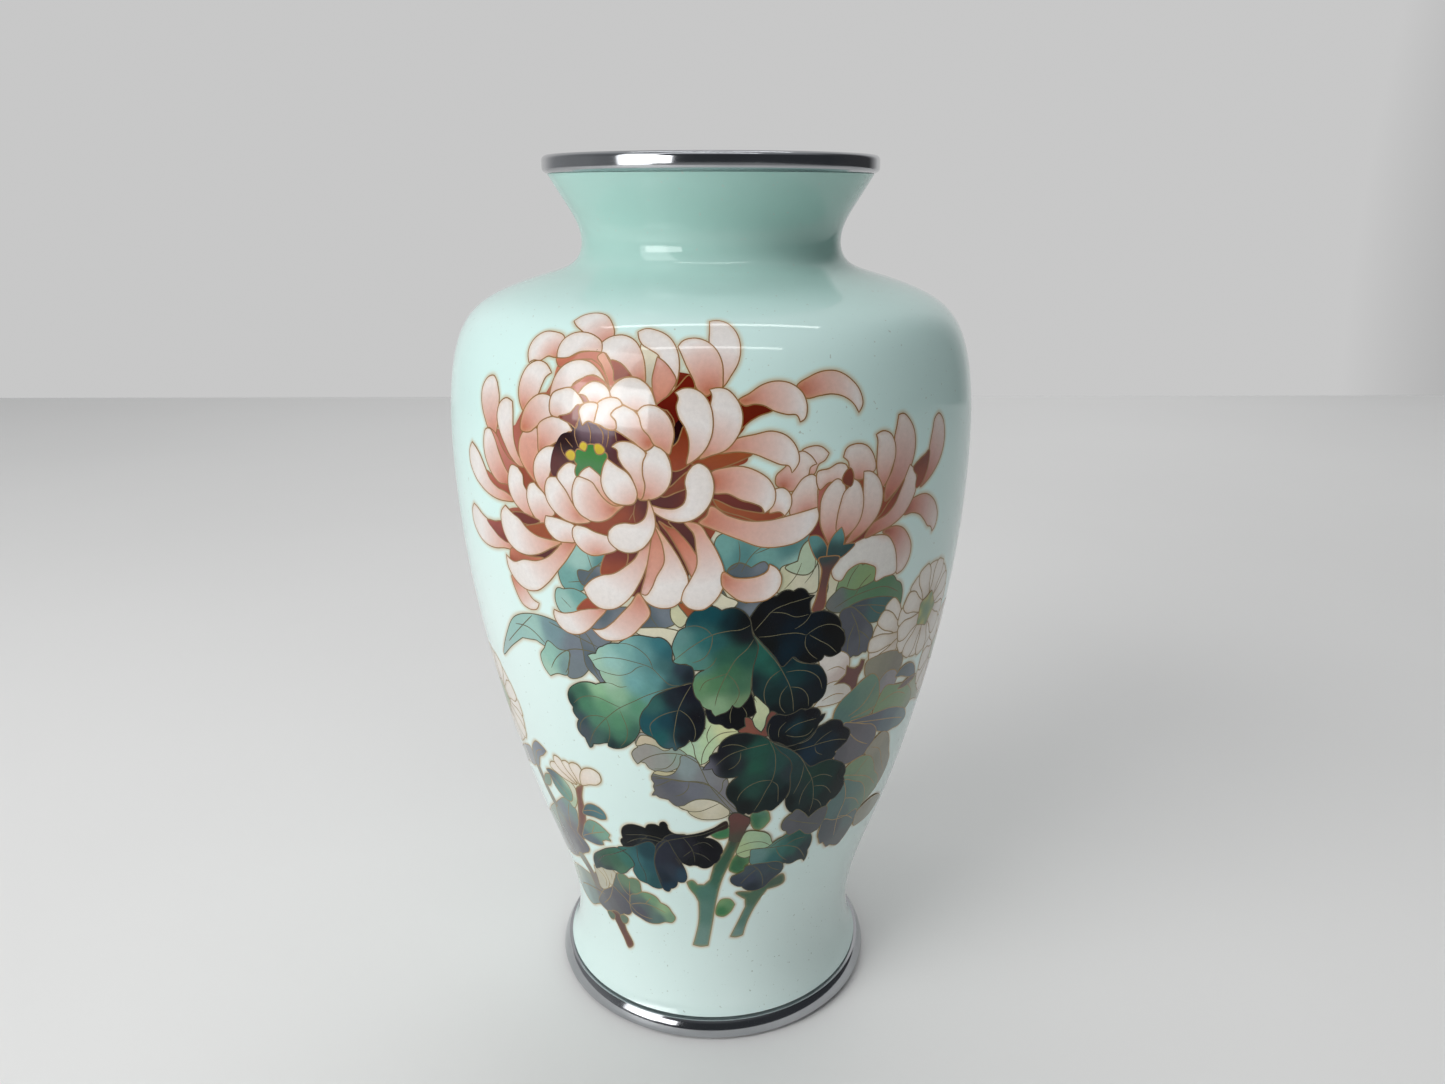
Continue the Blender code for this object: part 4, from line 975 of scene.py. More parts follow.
patch("sprig_lobe_east", [(-27, 42, rgb(106, 146, 108)), (-21, 38, rgb(140, 172, 128)),
                          (-30, 38, rgb(76, 92, 92)),
                          (-33, 34, rgb(70, 72, 84)), (-24, 33, rgb(78, 104, 100)),
                          (-19, 35, rgb(112, 146, 116))],
      "-36,41 -33,42 -30.5,43.5 -27,43.8 -24,42.7 -22.5,40.5 -19.5,39.3 -18,37 -16.8,34.8 -18.3,32.7 "
      "-22,32.2 -25,31 -30,30.3 -34.5,31.3 -38.5,33 -38.3,37")
patch("sprig_stem_low", [(-48, 26, rgb(92, 62, 54)), (-43, 19, rgb(104, 66, 56))],
      "-52.5,28.3 -47.5,29.3 -45.3,27 -44.6,24 -41.3,18.6 -44.5,16.9 -47,20 -49.8,23.5",
      edge=rgb(140, 110, 90))
patch("sprig_bud_low", [(-54, 26.5, rgb(84, 104, 84)), (-43.5, 28, rgb(96, 110, 92))],
      "-56,26.8 -53,28.2 -50.5,27.5 -51.5,25.6 -54.5,25", width=0.3)
patch("sprig_bud_east", [(-43.5, 28, rgb(96, 116, 96))], "-47,28 -44,29.6 -42,28.8 -43.5,26.4 -46,26",
      width=0.3)
patch("sprig_stem", [(-46, 79, rgb(112, 66, 52)), (-50, 70, rgb(110, 68, 56)), (-54, 60, rgb(92, 72, 66))],
      "-43.8,82.3c -46,81.2 -48,79.5 -48.8,76 -50,72 -51.5,68 -53.5,64 -56,59.5 -54,58 -51,61.5 "
      "-49.3,65 -47.5,69 -46.6,73 -46.2,77 -45,80", edge=rgb(150, 112, 86), replaced="sprig_stem")
patch("sprig_cream", [(-50.5, 78, rgb(206, 208, 184)), (-50, 73, rgb(168, 188, 158))],
      "-54.5,81.3 -51,81.5 -48.6,79.8 -48.8,76.5 -50.2,73 -52.5,70.8 -54.5,73.5 -52.5,77")
for name, text in (
        ("west_bud_a", "-59.2,83.6 -58,85.3 -55.8,86 -53.5,84.8 -51,83.3 -47,81.3 -51.5,81.2 -55.5,82"),
        ("west_bud_b", "-55.8,86.8 -55,88.6 -53,88.8 -51,87.5 -49,84.8 -46.8,81.5 -51,83 -54.5,84.8"),
        ("west_bud_c", "-51.5,87.7 -49.5,88.7 -47.8,88.1 -46.8,85 -45.7,81.8 -48,83.5 -50.5,85.8"),
        ("west_bud_d", "-48,88.2 -46,89.2 -44,89 -43,87.6 -43.8,84.5 -45.3,81.9 -46.5,84"),
        ("west_bud_e", "-43.3,87.3 -40.5,89.1 -38,89.3 -36,88.2 -35.9,86 -37.7,84.2 -41,83.2 -44.5,82")):
    petal(name, (-46, 80.5), along([(0.0, DAISY_SHADE), (0.4, rgb(226, 212, 198)),
                                    (1.0, rgb(232, 226, 216))]),
          text, edge=rgb(200, 178, 130), replaced="daisy_west" if name == "west_bud_e" else None)
patch("sprig_top", [(-57, 78, rgb(84, 122, 122)), (-60, 80.5, rgb(70, 88, 98)),
                    (-54, 76, rgb(106, 150, 132)),
                    (-52, 80, rgb(150, 178, 154)), (-57, 74.5, rgb(96, 136, 126))],
      "-63,80.4 -60,82 -57.5,82 -54,81.2 -51.5,79 -51,76 -52.5,73.3 -55.5,72.7 -58.5,74 -61,76.8 "
      "-61.3,79.5", replaced="sprig_leaf_top")
patch("sprig_fin", [(-43, 73.5, rgb(62, 104, 110)), (-39, 73, rgb(72, 116, 122)),
                    (-46, 72, rgb(60, 84, 92))],
      "-48.3,70.5 -47,72.7 -45,74.8 -42,75.8 -39.3,75.3 -37.5,73.6 -37.5,71.8 -39.5,70.8 -43,70.7",
      replaced="sprig_leaf_fin")
patch("sprig_fan", [(-44, 65, rgb(108, 152, 130)), (-40, 66, rgb(116, 160, 138)),
                    (-50, 61, rgb(80, 98, 110)),
                    (-46, 59, rgb(74, 92, 106)), (-48, 65, rgb(98, 134, 120))],
      "-53.5,59.2 -51.3,63 -48.7,66.6 -46,68.6 -43,68.8 -39.5,67 -37.8,65.5c -39,64 -38.3,63 -40.5,62.6 "
      "-42.5,61.5 -42.5,60c -45,59 -49,58.6", replaced="sprig_leaf_fan")
patch("twig_stalk", [(-68.5, 74, rgb(120, 122, 108))],
      "-71,81 -69,80.5 -67.8,76 -66.8,72 -65,66.5 -66.5,65.5 -69,69.5 -70.3,75", width=0.3)
patch("twig_leaf_small", [(-64, 76, rgb(112, 140, 122))], "-68.8,73.5 -67,76.5 -64,78.8 -61.8,79.2 "
      "-62.5,76.5 -65,74")
patch("twig_leaf", [(-65, 87, rgb(112, 120, 132)), (-60, 88, rgb(104, 112, 124)),
                    (-69, 83, rgb(118, 128, 130))],
      "-59,88.5c -61.5,89.8 -64,90 -67,88.2 -69.5,85.5 -70.8,82 -71,79.5 -69,79.3 -67,81.5 -65,84.2 "
      "-62,86", replaced="twig_leaf")
veins("-61,79.5 -57,77.5 -53,74; -47.5,71.5 -42,73.3 -38.5,73; -53,59.8 -47,63 -40,66; -47,63 -44,67.5; "
      "-66,64.5 -60,60 -56,53.5; -60,60 -58,66 -55,71.5; -46.5,42 -40.5,38 -36,33.5 -28,32.3; -38,36 "
      "-30,38.5 -21,36.5; -38,37 -36.5,42.5 -35,47; -30,38.5 -26.5,42; -46,41 -50,35.5 -57,30; -54,35 "
      "-64,34 -76,30.5; -52.5,46.5 -49,43.5 -50.5,39.5; -69.5,81 -66.5,85.5 -61.5,88; -44,47.5 "
      "-44.8,44.5", 0.28)
end_motif("west_group", WIRE_GOLD)
# ---------------------------------------------------------------- stems
patch("stem_main", [(7, 70, rgb(46, 60, 42)), (5, 64, rgb(30, 76, 50)), (1, 59, rgb(30, 82, 56)),
                    (2, 54, rgb(34, 92, 70)), (-4, 48, rgb(60, 110, 96)), (-8, 50, rgb(70, 118, 84)),
                    (-6, 40, rgb(78, 120, 108)), (-6, 26, rgb(104, 138, 128))],
      "5,75 5.3,70 4,66 2,62 0.3,59.5 -0.3,57 -1.3,53 -3.5,50.8 -6,50.8 -8,52.6 -10.2,51.6c -9.3,48.8 "
      "-7.3,45.8 -6,43 -6.5,34 -9.5,24.3c -6,23.8 -2.4,24.3c -0.5,33 1.3,44 2.5,50 4,55 6.3,60.5 8,65.5 "
      "9.5,69.5 "
      "10.4,73.5 8,75.5", edge=rgb(150, 140, 96), replaced="main_stem")
patch("stem_second", [(26, 50, rgb(50, 82, 58)), (16, 45, rgb(58, 98, 70)), (12, 36, rgb(78, 118, 104)),
                      (10, 28, rgb(106, 140, 132))],
      "9,46.8 15,46.8 23,51 27.5,52 29,48.5 22,46.5 18,40 15,33 13.6,27.8c 10.5,27.2 7.8,27.6c 11,34 "
      "13.5,40 13,43.5", edge=rgb(150, 140, 96), replaced="second_stem")
patch("sprout_a", [(3.5, 39.5, rgb(40, 112, 62)), (7, 42, rgb(90, 140, 92)), (3, 43, rgb(110, 150, 100))],
      "1.2,37.3 1.3,41 3.4,44.2 6.5,44.3 9,41.6c 7.4,38.4 4.4,36.4", edge=rgb(130, 150, 90),
      replaced="sprout_low")
patch("sprout_b", [(9.5, 60.5, rgb(18, 88, 46)), (8, 57.5, rgb(26, 96, 54)), (13, 62.5, rgb(84, 130, 84)),
                   (7.5, 63, rgb(60, 112, 66))],
      "6,59.5 7.3,62.6 9.3,64.2 11.5,64 13.6,62 12.9,59.3 11.9,58.4c 11.2,56.3 9.5,55.3 7.8,55.6 "
      "5.8,57", edge=rgb(130, 150, 90), replaced="sprout_mid")
patch("sprout_c", [(14, 76, rgb(26, 96, 60)), (17, 75, rgb(80, 130, 92)), (15.5, 78.8, rgb(70, 120, 98)),
                   (12.5, 77, rgb(40, 104, 66))],
      "11.7,77.5c 12.5,79.2 15,79.7 17.5,79 18.4,77c 18.6,75.5 17.8,74.2c 16.8,73 15.3,72.2 13.5,72.8 "
      "12.4,74.5", edge=rgb(140, 150, 100), replaced="sprout_high")
patch("sprout_d", [(2, 71.5, rgb(40, 112, 66))], "-0.8,71.5 1.5,73.2 5,74.3 5.2,70.5 3,69.8 1,70",
      edge=rgb(110, 130, 90))
end_motif("stems", WIRE_GOLD)

# ---------------------------------------------------------------- the side bloom
DUSTY = along([(0.0, rgb(168, 82, 50)), (0.22, rgb(206, 150, 134)), (0.6, rgb(222, 200, 190)),
               (1.0, rgb(226, 222, 216))])
WINEY = along([(0.0, rgb(138, 54, 28)), (0.22, rgb(186, 116, 98)), (0.6, rgb(208, 172, 162)),
               (1.0, rgb(226, 216, 208))])
patch("side_gap", [(24, 160, MAROON), (30, 156, RUST), (43, 163, RUST), (46, 168, RUST),
                   (37, 166, RUST), (32, 172, AMBER), (40, 158, MAROON), (24.5, 168, ROSEWOOD)],
      "22.6,158.5 24.8,163 24.5,168 25,171.5 30,172 32,173.5 36,172.5 41,170 43,167.5 47,169 "
      "51,171.5 52.5,166 49,161 43,158 37,156.3 30.5,154.5 27,153.5 24,155.5", wired=False,
      replaced="side_bloom_petals")
for name, root, colour, text in (
        ("side_pale_c", (21, 172), DUSTY, "20.3,178.8 22.5,179.7 25,179.5 27,177.8c 26,176.3 24.5,175.5 "
         "23.3,173.3 21.5,173.5 20.5,176.5"),
        ("side_pale_b", (16, 171), DUSTY, "14.3,173.4 16.5,175.5 18.5,178 20.5,178.8 22.3,177.8 "
         "24,175.6c 22.5,175 22,173.3 20,171.2 18,169.7 16.3,170.3 14.3,171.5"),
        ("side_pale_a", (22, 163.5), DUSTY, "18.9,170.4 21,172.8 23,173.3 24.4,172 24.3,169.3 24.4,166.5 "
         "24.4,165.2 21,164.6 17.8,164.2 17.7,166.8 18,169"),
        ("side_n2", (28, 169), DUSTY, "24.2,173.8 27,174.3 29.5,175.3 31.5,174.7 32,173.3 31,171.6 "
         "29.5,171 27,171 24.9,169.5"),
        ("side_n1", (35, 170), DUSTY, "30.7,176.5c 31.5,178.5 34,179.3 37,178.6 39,176.3 39.5,172.5 "
         "37.5,171.6 36,170.8 34,171 32.3,173.3 32,175.3"),
        ("side_n6", (55, 165.5), WINEY, "58.5,174.5 60,179 61.3,182 63,182.8 65,181.3 66,178 65.6,174.5 "
         "64,171.5 61.5,169 58.5,167 55.5,165.8 57.3,169 58,172"),
        ("side_n4", (43, 163), WINEY, "47,184.5c 48.5,184.7 50.8,183 52.5,180 52.8,176 51.7,172.3 "
         "49.5,169 46.5,166.5 43,164.5 43,168.5 45,172 45.6,176 45.5,179.5 46.3,182"),
        ("side_n3", (42.5, 167), DUSTY, "39.8,180.8c 42,181.4 44.3,180.5 45.7,178 45.8,175 44.7,172 "
         "43.3,169.3 42,168 40.7,170.2 40,173.5 40.1,177 40.2,179.7"),
        ("side_o1", (50, 161), WINEY, "50.8,162.6 54.5,163.8 58,163.7 61,162.3 63.8,159.5 65,156.5 "
         "64.3,153.8 63,152.8c 62,154.3 60.5,154.8 58.8,156.5 56,158.8 53,159.8 49.8,160"),
        ("side_o2", (44, 157), WINEY, "43,156.8 46.5,157.7 49.5,156.9 52.3,154.3 54,151 53.5,147.5 "
         "51.5,145.2 49.5,144.6c 48.5,147 48.2,150 47,153 45.2,155.3"),
        ("side_o3", (44, 157), along([(0.0, BLUSH), (0.2, rgb(226, 222, 216)), (1.0, rgb(222, 222, 214))]),
         "28.8,149.3 30.5,152 33.5,154.8 37,156.2 41,156.4 44.7,155.6 47.3,152.7 48.7,149 49,145.3 "
         "45,144.8 42.2,144.3 41.7,148 40,149 36.5,149.9 33.5,148.7 31.5,146.3 29.8,147"),
        ("side_p4", (37, 156), WINEY, "51,172.2c 52.5,171 53.8,168 53.5,165 52,162.5 50,160.3 46.5,158.3 "
         "42,157.1 37.5,156.3 40.5,160.3 44,161.5 46.3,163.3 48,166.5 49.5,169.5"),
        ("side_p3", (35, 155.5), DUSTY, "36.3,172.6c 38,172.5 40.5,170.8 42,168 42.2,164.8 41,161.5 "
         "38.5,158.8 35.5,156.8 32,155.4 34,158.8 35.7,161.5 36.3,165 36.3,168.5 36.3,170.5"),
        ("side_p1", (28, 156), DUSTY, "25,164 25.3,167.5 27,170.3 29.3,171.7 31.2,170 31.5,168 30.5,165.5 "
         "29.9,162 29.7,158.3 28,156 26.3,158.5 25.2,161.3"),
        ("side_p2", (31, 156), DUSTY, "33,171.5c 35,170.3 36.3,167.5 36.5,164 35.5,160.5 33.5,158.3 "
         "31,157 29.5,159 29.5,162.5 30.2,165.8 31.2,168.5 32.3,169.5")):
    done = ("side_bloom_petals",) if name == "side_p2" else ()
    petal(name, root, colour, text, edge=rgb(186, 140, 104))
plain("side_n5", rgb(116, 54, 30), "52.3,171 55,173 57,173.8 58.5,174.6 58.5,171.5 57.3,168.5 "
      "55.5,166.4 53.8,165.9 53.9,169", RUST)
plain("side_p5", rgb(128, 54, 26), "31,172.8 32.5,173.9 33.5,172 32.7,169.5 31.5,169.9 30.5,170.8")
plain("side_p4_under", rgb(122, 52, 30), "39.7,159.8 42,161.5 44,163.8 47,166.7 49.3,169 48,166.3 "
      "46.2,163.2 44,161.3 41,160.2", RUST, width=0.3)
patch("side_calyx_west", [(24, 157, rgb(84, 138, 136)), (26, 154, PINE)], "22.8,158.7 24.5,158.7 "
      "26.5,157 27.4,155.2 27.5,152.8 25.3,152.3 23.5,154.8", replaced="side_bloom_calyx")
patch("side_calyx_east", [(31, 159, rgb(84, 138, 136)), (29, 154, PINE), (33, 154.5, PINE)],
      "27.4,155.3 28.7,158.2 30.8,160c 31.5,158.5 31.8,156.6 31.6,155.6 34.8,155.2 33,153.5 30.5,152.2 "
      "27.6,152.6")
patch("side_stalk", [(27, 152, PINE), (27, 150, STEM), (26, 141, rgb(112, 62, 52))],
      "25.3,153 27.5,153.2 30.8,152.6 28.8,149.5 28,146 26.8,139.3 24.6,139.3 25.3,143 26,147 "
      "26.2,150", replaced="side_bloom_stalk")
end_motif("side_bloom", WIRE_BROWN)


# ---------------------------------------------------------------- the crown leaf
leaf("crown_small", "-1,110,20,24,32 5.3,112.0,8,10,16",
     "-1.9,113.5 -1.5,111.5 -0.8,110 0.5,109.3 2,109.2 3.2,108.3c 4.2,107.8 5.5,107.9 6.3,107.3c "
     "7.2,107.1 8.5,108 9.2,109.8 9.3,111.1c 10.5,111.3 11.5,112.5 11.6,114.5 10.6,116.5 9.8,118.5 "
     "8.5,118 6,117 3,116 0,116 -1,115.5")
leaf("crown_back", """
     13,136,16,20,24 18,144,0,0,4 22,139.5,4,8,8 16,139.5,16,20,28 20,136.5,4,28,40 19,130,0,36,48
     24,137,0,24,36 22,133,0,32,44 14,131,8,16,16 30,134,4,4,8 33,129,0,0,4 28,129,4,16,24
     25,126.5,4,8,8 25,131,4,24,32 10,138,8,8,8""",
     "9.6,134.5 9.3,137.5 8.9,139.3c 9.8,140.8 11.5,143 13.5,144.2 15.3,144.5c 16.5,145.5 18,145.8 "
     "19.3,145.3c 20.5,145.9 22,145.6 23,144.5 23.5,143.8c 24.8,143.6c 23.8,142.3 23.8,140.5 "
     "24.2,139c 25.5,139.2 27.5,139.2 30,138.2 32,136.5 33,134.5 33.1,133.5c 34,132.7 34.2,131.8c "
     "34.7,130.3 34.6,129 33.8,127.8c 33.8,127 32.8,126.4 31.5,126 30,126.2 29,126.8c 28.5,125.8 "
     "27,125.1 25,125 22,124 18,124 14,128", replaced="leaf_crown")
leaf("crown_south_east", """
     12,129,40,96,84 15,125,40,92,80 13,121,32,60,60 10.5,121,24,32,40 18,126.5,8,36,48
     22,123,16,56,60 26,123,16,40,48 29,119,16,24,32 24,116,24,32,40 20,116,24,40,40 16,117,24,48,48
     17,112,16,24,28 25,112,12,20,24 20,121,28,60,64""",
     "9.8,134.7 12.5,131.8 15.5,128.2 17.8,125.2 19.3,126.6 20.3,127.6 22,126.3 25,125 27.5,124.3 "
     "29.5,122 30.6,119.5 30.8,117 30.3,114.8 28.8,113.3 27.5,112.8c 26.8,111.9 26,111.3c 24.5,111.8 "
     "22.5,111.2 20.5,110.5 18.5,110.8 16.8,111.7c 15,112.3 13.3,113.8 11.5,116 10.2,119 9.4,122 "
     "9,128")
leaf("crown_main", """
     -5,140,16,72,80 0,140.5,16,72,80 4,138,8,40,48 8,138.5,4,8,12 6.5,136.5,4,20,24 -8,134,96,140,136
     -5,130,84,132,128 -9,128.5,104,152,140 -2,133,48,104,104 1,133,40,88,88 8,134.5,24,24,32
     3,129,48,92,76 8,129,40,84,72 -3,121,100,140,100 1,121,80,124,88 4,125,64,108,80 1,115,132,164,128
     7,120,68,108,84 8,116,112,140,104 -4,126.5,80,128,120""",
     "9.8,134.7 9.2,138.2c 8.3,140 7,141.3 5.5,142 3.5,141.9 2.2,141.4c 0.8,142.3 -1,142.6 -3,142 "
     "-5,140.5 -6.2,138.5 -6.5,136.9c -8.2,135.8 -8.7,134.8c -9.5,133 -9.9,131 -9.5,129.3 "
     "-9.3,128.5 -10.2,127c -8,126.8 -6.5,126.9 -5.4,126.2c -5,125.4 -3.6,125.2 -2,125.4 -3,124.9c "
     "-4.2,123.8 -5,121.5 -5,119 -4.2,117.2 -3.3,116.3c -2.8,114.9 -1.5,114 -0.4,113.7c 0,112.6 "
     "0.7,111.8c 2,112.4 3.5,113 4.7,114.2 5.1,115.1c 6,114.3 6.9,114.2 8.3,115.5 9.5,117.5 "
     "10,120 10,123 10.2,126 10.9,129 11.2,131.5")
veins("9.3,138.3 9.6,136 10.8,133.5 13.5,130 16.5,126 18.5,122.5 20,119.5 21.2,115.5 21.8,111.5; 9,137.3 "
      "7,136.3 4,136 0.5,135.2 -4,132.5 -9.3,128; 0,134.8 -1.5,136.5 -4,137.4 -6.3,137; 0,135 -0.3,132 "
      "-2,128.8 -5,127.3; 10,133.5 8.5,131 6,128.5 4,125 2.2,121 1.2,118 0.6,115; 3.6,124.3 1,123.3 "
      "-2,121.8 -3.3,119.3; 3.9,124 6,121.3 6.8,118.5 6,116 5.3,115; 10.2,135.8 12,138 14.5,140.8 "
      "18,142.2 22,143 24.3,143.5; 14,140.3 17.5,139.8 20,138.6 23.5,138.8; 11.2,134 14,134 18,134.3 "
      "21,134.1 23.5,133.2; 23.5,133.3 26,134.8 29,135.3 32,134.3 34,132.3; 24.2,133.2 27,131.3 30,129.3 "
      "32.5,126.8; 23.3,133 23.3,130.5 24.5,128.3 27,126; 17.3,124.3 14.5,122 13.3,118.5 14,114.5; "
      "19.5,119.5 18,117.5 17.8,114 19.5,111.3; 18.8,123.5 22,123.6 25,122.8 28,120.5 29.5,117; 20.3,119 "
      "23.5,118 25.5,115.5 26,112.5; 24.2,139 23.2,137.3 20.2,135.3; -2,125.4 -0.3,126.6 1,128.8; "
      "5.2,114.5 4.6,112 4.8,109.5; 7.8,114.3 9,112 8.8,110; 20,127.6 22,126 25,125; 9.9,123.5 9.9,119 "
      "11.5,115.5")
end_motif("leaf_crown", WIRE_FINE, WIRE_DARK)

# ---------------------------------------------------------------- the west leaf
leaf("west_main", """
     -31,126,160,196,176 -26,126,148,192,184 -27,120,160,192,168 -22,130,120,168,164
     -17,129.5,96,144,144 -13,132,56,112,120 -10.5,129.5,44,92,100 -11.5,126,64,104,104
     -8.5,125.5,48,56,68 -6,123.5,28,32,40 -14,122,92,144,144 -20,120.5,112,164,164 -17,118,96,148,144
     -11,120.5,48,76,80 -25,116,136,176,144 -31,117,140,184,144 -36,115,60,104,84 -40.5,111,32,56,56
     -36,111,72,124,96 -30,112,96,148,112 -20,113.5,88,140,112 -38,106,56,72,80 -33,107,80,128,104
     -26,107,84,136,104 -37.5,102,72,80,88 -33,102,64,96,88 -26,103,72,120,96 -29,100,32,48,52
     -25,100.5,32,56,56 -21.5,104.5,60,96,84""",
     "-5.2,121.2 -4.6,123.5 -5,126 -9.8,127.5 -9.9,131 -10.5,132.3 -11.3,133.2 -13,133.9 -14,133.7c "
     "-16,133.9 -18.3,134 -20.5,133.3 -22.5,132 -23.6,131.1c -25.5,130.9 -27.3,130.2 -28,129.7c "
     "-29.3,129 -30,127.9 -30.2,127.3c -31.5,127 -32.7,126.3c -32,125.3 -31.4,124.3 -30.8,123.2 "
     "-29.8,122.5c -29.6,121.2 -29,120 -28.2,119.2c -30,118.8 -31.5,118.1c -33.5,118.3 -36,117.8 "
     "-38.5,116.5 -40.5,114.8 -41.6,112.5 -41.4,110.5 -40.5,109.1c -40.8,107.8 -40.3,106.6 "
     "-39.3,105.6c -40.2,104 -40.4,102.3 -39.6,100.8 -38.3,100c -38,98.8 -37.3,97c -36.3,97.6 "
     "-35.8,98.7c -34,99 -32,99.8 -30.6,100.2c -30.7,99.1c -29,98.8 -26.5,99.3 -24,100.8 -21.8,103 "
     "-20.3,105.5 -19.6,108 -18,111.5 -16,114 -13,116.5 -9,119", replaced="leaf_west")
leaf("west_dark", """
     -17,108,32,80,88 -14,104,32,88,88 -15.5,114,52,96,92 -12.5,110,24,64,76 -10,116.5,32,40,48
     -6,119,24,24,36 -8.5,110,24,32,40 -8.7,104,20,20,28 -4.5,111,16,16,24 -4.5,106,16,20,28
     -11.3,102.3,60,88,96""",
     "-5.2,121.4 -9,120.3 -12.5,118.8 -15.5,116.7 -17,114.3 -18.8,112 -19.8,109.5 -19.8,107 "
     "-19,105.5 -17.8,104.8c -16.7,104.4 -15.8,103.6c -15,102.3 -13.6,101.3 -12.2,101.2 -11.2,101.7c "
     "-10.6,100.7 -9.9,101c -9.6,101.6 -8.3,102.1 -7,103.2 -6.4,104.4c -5.6,103.8 -5,103.9 -3.5,105.5 "
     "-2.3,108 -2,110.5 -2.1,113 -2.6,114.5 -3.3,116.3c -4.3,117.5 -4.9,119.5")
veins("-5.3,121.5 -9,120.4 -13,119 -17,117.2 -21,114.8 -25.5,112 -29,109 -32,106 -35,102.3 -37,98.3; "
      "-8.5,120.7 -11,120.9 -13,122.8 -15,125 -20,126.5 -25,126.9 -29.5,126 -31.5,125; -15,125 -16,128 "
      "-18,130 -21,131.3 -23.5,131.2; -17.3,125.7 -19,125 -21,123.3 -24,122.1 -27,122.1 -29.7,122.6; "
      "-25,112.3 -28,113.3 -32,114.3 -36,113.5 -40,110.5; -29.8,108.3 -33,108.3 -36.5,107 -39.3,103.5 "
      "-39.6,101.5; -25.3,111.5 -24.5,109 -23.8,106 -24.5,102.5 -26.5,100; -29.8,108 -29.3,105 -30,101.5 "
      "-30.6,100.3; -5.5,120.8 -7.5,117 -9,113.5 -10,109 -10.6,105 -10,101.5; -9,113.3 -12,112.3 "
      "-15,110.5 -17,108 -16.5,104.8; -8.7,113.5 -6.5,111.8 -5,109 -4.7,106 -5.2,104.2; -28.2,119.3 "
      "-26.5,119.2 -24.5,118.6 -22.5,119.1")
end_motif("leaf_west", WIRE_FINE, WIRE_DARK)

# ---------------------------------------------------------------- bracts and the heart leaf
patch("gap_cream_a", [(13, 112, rgb(196, 206, 164)), (12, 108, rgb(176, 194, 152))],
      "11,117.5 13,115.5 15,113 14.8,110 14,107.5 13.2,106.4c 12,107.2 10.5,109.5 11.5,112.5")
patch("bract_mid", [(9, 108, rgb(128, 70, 52)), (15, 110, rgb(110, 58, 46))],
      "8.8,111.2 10.2,110.6 11.3,108.2 13.2,106.2 14,107.8 14.6,111 15.6,112.4 17.2,111.6c 15.5,109.8 "
      "14.8,107.5 15.5,105 12.5,104.8 9,106 6.8,106.9 8.8,108.4", width=0.3)
leaf("heart_top", """
     17,108,20,24,32 21,109.5,16,16,24 27,110,16,16,24 23,107,24,56,64 27,105,16,32,32 20,103,16,20,24
     30,108,24,28,32""",
     "16.5,103 15.3,104.8 14.6,107 15,109.2 16.2,110.9 18,111.2c 20,110.6 22,111 24.3,111.9 25.3,111.3c "
     "27.5,111.6 29.3,110.8 30.2,109.4 30.3,108.7c 31.7,108.8c 31.2,107.3 30,106 29.9,105c 29.5,103.5 "
     "28,102 25,100.5 21,100.3 18.5,101.5", replaced="leaf_heart")
leaf("heart_north_east", """
     33,104,24,28,32 38,103,24,24,32 40,99.5,24,28,32 35,100,24,44,56 29,97.5,24,48,64
     34,94.5,24,40,48 22,100,16,24,24 31,102,24,40,48""",
     "17.5,101.8 20,100.8 24,100.9 27.5,102.3 30,105c 32,105.6 34,106.3 36,106 38,104.8 38.8,103.2c "
     "40,102.5 41.5,101.2 42,99.8 41.6,98.5c 41.2,97.6 40,96.7 38.6,95.8 37.4,95.2c 38,94.3 37,93.2 "
     "35,92.6 33.5,92 31,92 28.8,92.3 27,94 24,97 20.5,99.5")
leaf("heart_main", """
     4,104,24,28,32 9,104,24,28,32 2,100,24,24,32 -2,95.5,100,100,112 4,95.5,24,28,32 7.5,96,40,48,52
     12,101,40,84,72 12,95,40,88,72 12,91,40,72,64 6,86.5,24,32,32 12,87,40,72,64 10,82,28,32,32
     17,82.5,28,40,40 19,88,32,52,52 22,84.5,24,32,36 19,95,44,76,72 22.5,92,48,60,64""",
     "16,103.2 14.5,104.5 13,105.3 11,105.8 9,106.4 6.5,106.2 4,105.2 2.3,103.6 1.5,101.5 1.3,100.5c "
     "0,100 -1,98.9 -0.9,97.5c -1.8,96.6 -2.9,94.8c -1.5,94.9 -0.2,95.2c 0.3,93.8 1.5,92.6 3.5,92 "
     "6,92.1 7.4,92.4c 5.5,90.8 4.2,88.8 3.9,86.5 4.8,84.5 6.2,83 7,81.8 7.4,80.5c 8.2,79.2 9.5,78.7 "
     "10.3,79.4c 11.3,78.7 12.5,79.3c 14,79.1 15.5,79.5 16.8,79.7c 18.5,79.2 20,80.2 21.5,81.6 "
     "22.8,83.3 23.6,85.5 23.6,87.5 23.4,89.2 24,92 24.5,96 22,99.5 18.5,102.2")
